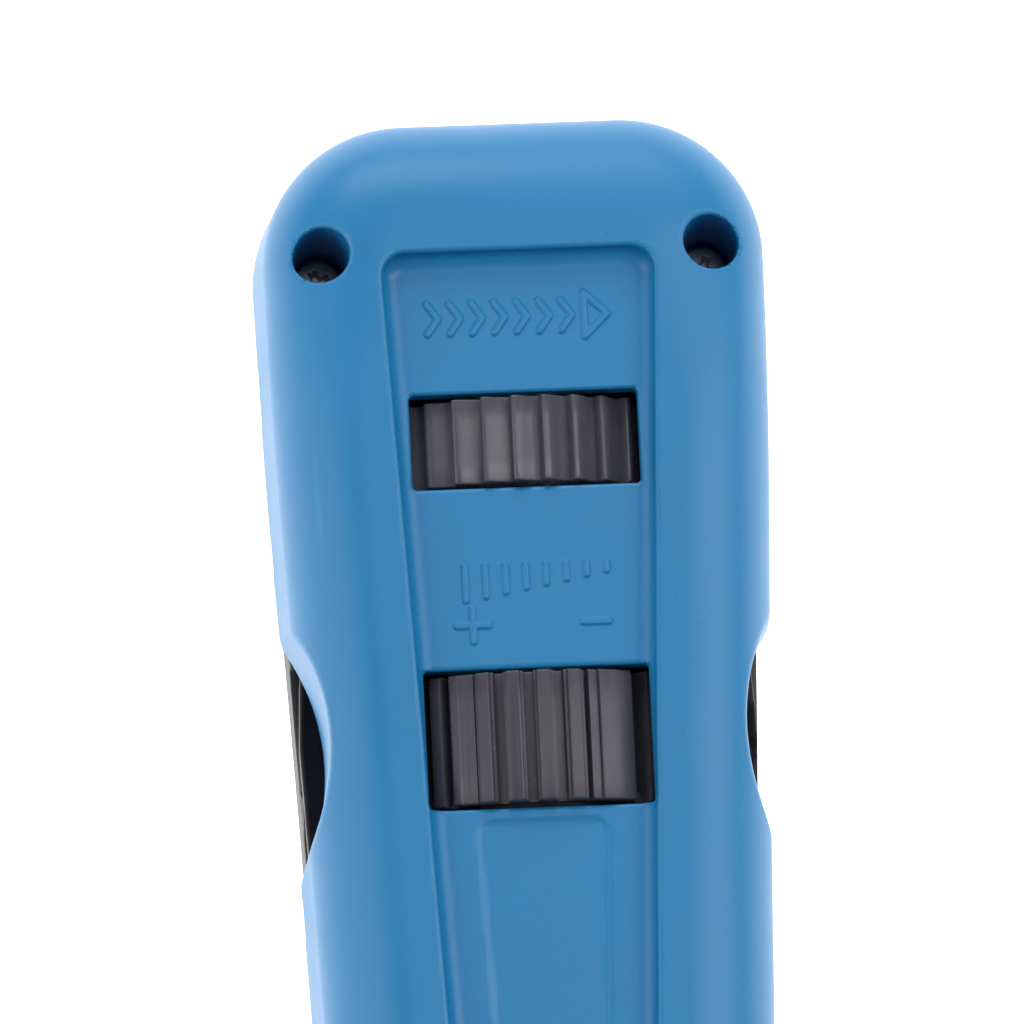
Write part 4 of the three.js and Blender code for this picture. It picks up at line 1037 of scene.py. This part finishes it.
spring("release_spring", 8.1, 0.8, 49.5, 54.6, 4, "body", None)
spring("return_spring", 3.5, 0.7, 34.1, 48.8, 6, "body", "blade_stroke", 1 - 8 / 15.4, 33.8)
spring("main_spring", 4.6, 1.3, -26, -3.4, 8, "body", "hammer_stroke", 1 - 8 / 24, -26.7)
spring(
    "trip_spring", 0.75, 0.3, AXIS_Z + 3.45, AXIS_Z + 4.9, 3, "hammer", "trip_shift", 0.45, 20.6,
    upright=10.4,
)
spring("detent_spring", 0.85, 0.35, 13, 16.7, 4, "body", None, drop=DETENT_DROP)


# ---- Fold-out leaves and their pivots ----

def leaf_plan(tip):
    turns = np.linspace(math.pi, 2 * math.pi, 19)
    eye = [(PIVOT_X + EYE * math.cos(a), PIVOT_Y + EYE * math.sin(a)) for a in turns]
    edge = [(half_width(y) - 0.75, y) for y in np.linspace(-26, 26, 14)]
    return eye + edge + list(tip) + [(LEAF_INNER_X, 18), (9.7, 10.5), (PIVOT_X - EYE, PIVOT_Y)]


def leaf(side, tip, notch=None):
    plan = leaf_plan(tip)

    def field(x, y, z):
        outline = polygon(side * x, y, plan)
        solid = both(outline + 0.02, slab(z, LEAF_LOW, LEAF_LOW + LEAF_THICK), 0.3)
        solid = less(solid, post(side * x, y, PIVOT_X, PIVOT_Y, PIN + 0.12), 0.15)
        groove = np.hypot(np.maximum(np.abs(y + 4) - 9, 0), side * x - half_width(-4) + 2.9) - 0.5
        solid = less(solid, both(groove, LEAF_LOW + LEAF_THICK - 0.25 - z, 0.1), 0.12)
        if notch:
            solid = less(solid, post(side * x, y, *notch), 0.2)
        return solid

    return field


SPUDGER_TIP = [
    (15.9, 29.6), (15.8, 30.7), (15.5, 31.6), (15.3, 31.9), (15, 32), (14.6, 31.8), (14.2, 31.2), (13.9, 29),
]
HOOK_TIP = [(15.9, 30.4), (15.8, 31.4), (15.4, 32), (14.3, 32), (14.0, 31.8), (13.9, 31.4)]
LEAF_XS, LEAF_YS, LEAF_ZS = (8.0, 17.2), axis((-36, 14, 0.3), (14, 32.4, 0.2)), axis((11.4, 14, 0.17))
for name, side, tip, notch in (
    ("hook", -1, HOOK_TIP, (LEAF_INNER_X, 29.6, 0.95)), ("spudger", 1, SPUDGER_TIP, None),
):
    xs = axis((*sorted(side * v for v in LEAF_XS), 0.2))
    sculpt(
        name + "_piece", leaf(side, tip, notch), xs, LEAF_YS, LEAF_ZS, name, [name],
        BLACKENED, "blackened_steel", 0.45,
    )

for name, side in (("hook", -1), ("spudger", 1)):
    cx = side * PIVOT_X
    pin = lambda x, y, z, cx=cx: both(post(x, y, cx, PIVOT_Y, PIN), slab(z, 8.3, PARTING_Z + 3.1), 0.3)
    small(
        name + "_pin", pin, (cx - 1.5, -33.5, 8.2), (cx + 1.5, -30.5, 17.4),
        0.2, "body", STEEL, "turned_steel",
    )
    low = LEAF_LOW + LEAF_THICK + 0.12

    def washer(x, y, z, cx=cx, low=low):
        radius = np.hypot(x - cx, y - PIVOT_Y)
        return both(slab(radius, 1.7, 3.2), slab(z, low, low + 0.22), 0.05)

    small(
        name + "_washer", washer, (cx - 3.3, -35.3, low - 0.02), (cx + 3.3, -28.7, low + 0.24),
        0.1, "body", SPRING, "spring_steel", 0.4,
    )


def cap_pin(x, y, z):
    return both(np.hypot(y - HINGE_Y, z - HINGE_Z) - CAP_PIN, np.abs(x) - 11.2, 0.2)


small("tail_cap_pin", cap_pin, (-11.3, -61.8, 1.1), (11.3, -60.2, 2.7), 0.16, "body", STEEL, "turned_steel")


# ---- Floor, light and camera ----

def floor():
    side = 2.5
    mesh = bpy.data.meshes.new("floor")
    corners = [(-side, -side, -2e-4), (side, -side, -2e-4), (side, side, -2e-4), (-side, side, -2e-4)]
    mesh.from_pydata(corners, [], [(0, 1, 2, 3)])
    f = Finish("floor_card", 0.9)
    f.shader.inputs["Emission Color"].default_value = (1, 1, 1, 1)
    f.shader.inputs["Emission Strength"].default_value = FLOOR_GLOW
    f.colour(f.mix(f.span(f.noise(2.5, 2), 0.3, 0.7), (0.90, 0.90, 0.90), (0.93, 0.93, 0.93)))
    mesh.materials.append(f.material)
    plane = bpy.data.objects.new("floor", mesh)
    bpy.context.scene.collection.objects.link(plane)


def lamp(name, at, aim, size, power, colour=(1, 1, 1)):
    light = bpy.data.lights.new(name, "AREA")
    light.shape = "RECTANGLE"
    light.size, light.size_y = size
    light.energy = power
    light.color = colour
    item = bpy.data.objects.new(name, light)
    item.location = at
    item.rotation_euler = (Vector(aim) - Vector(at)).to_track_quat("-Z", "Y").to_euler()
    bpy.context.scene.collection.objects.link(item)


floor()
world = bpy.data.worlds.new("studio")
world.use_nodes = True
world.node_tree.nodes["Background"].inputs["Color"].default_value = (1, 1, 1, 1)
world.node_tree.nodes["Background"].inputs["Strength"].default_value = AMBIENT
bpy.context.scene.world = world
lamp("left_panel", (-0.66, 0.02, 0.44), (0, 0.02, 0.015), (0.4, 0.9), 2.8)
lamp("right_panel", (0.52, 0.06, 0.68), (0, 0.03, 0.015), (0.34, 0.8), 3.6)
lamp("nose_panel", (0.0, 0.72, 0.42), (0, 0.04, 0.02), (0.8, 0.34), 3.2)
lamp("top_panel", (0.06, 0.26, 0.9), (0, 0.04, 0.02), (0.25, 0.25), 0.35)

BACK = (-0.0533, -0.19)
ROLL = math.radians(-2.725)
TARGET = Vector((-1.14, 39.78, 27.0)) * MM
DISTANCE = 0.82
SCALE = 14.483  # pixels to a millimetre at the target, in a picture 1024 pixels wide
SENSOR = 36.0
PICTURE = 1024
back = Vector((*BACK, math.sqrt(1 - BACK[0] ** 2 - BACK[1] ** 2)))
right = Vector((0, 1, 0)).cross(back).normalized()
up = back.cross(right)
rolled_right = right * math.cos(ROLL) + up * math.sin(ROLL)
rolled_up = up * math.cos(ROLL) - right * math.sin(ROLL)
lens = bpy.data.cameras.new("camera")
lens.sensor_width = SENSOR
lens.lens = SCALE * (DISTANCE / MM) / PICTURE * SENSOR
lens.clip_start, lens.clip_end = 0.01, 10
camera = bpy.data.objects.new("camera", lens)
basis = Matrix((rolled_right, rolled_up, back)).transposed().to_4x4()
camera.matrix_world = Matrix.Translation(TARGET + back * DISTANCE) @ basis
bpy.context.scene.collection.objects.link(camera)
bpy.context.scene.camera = camera
bpy.context.scene.view_settings.view_transform = "Standard"
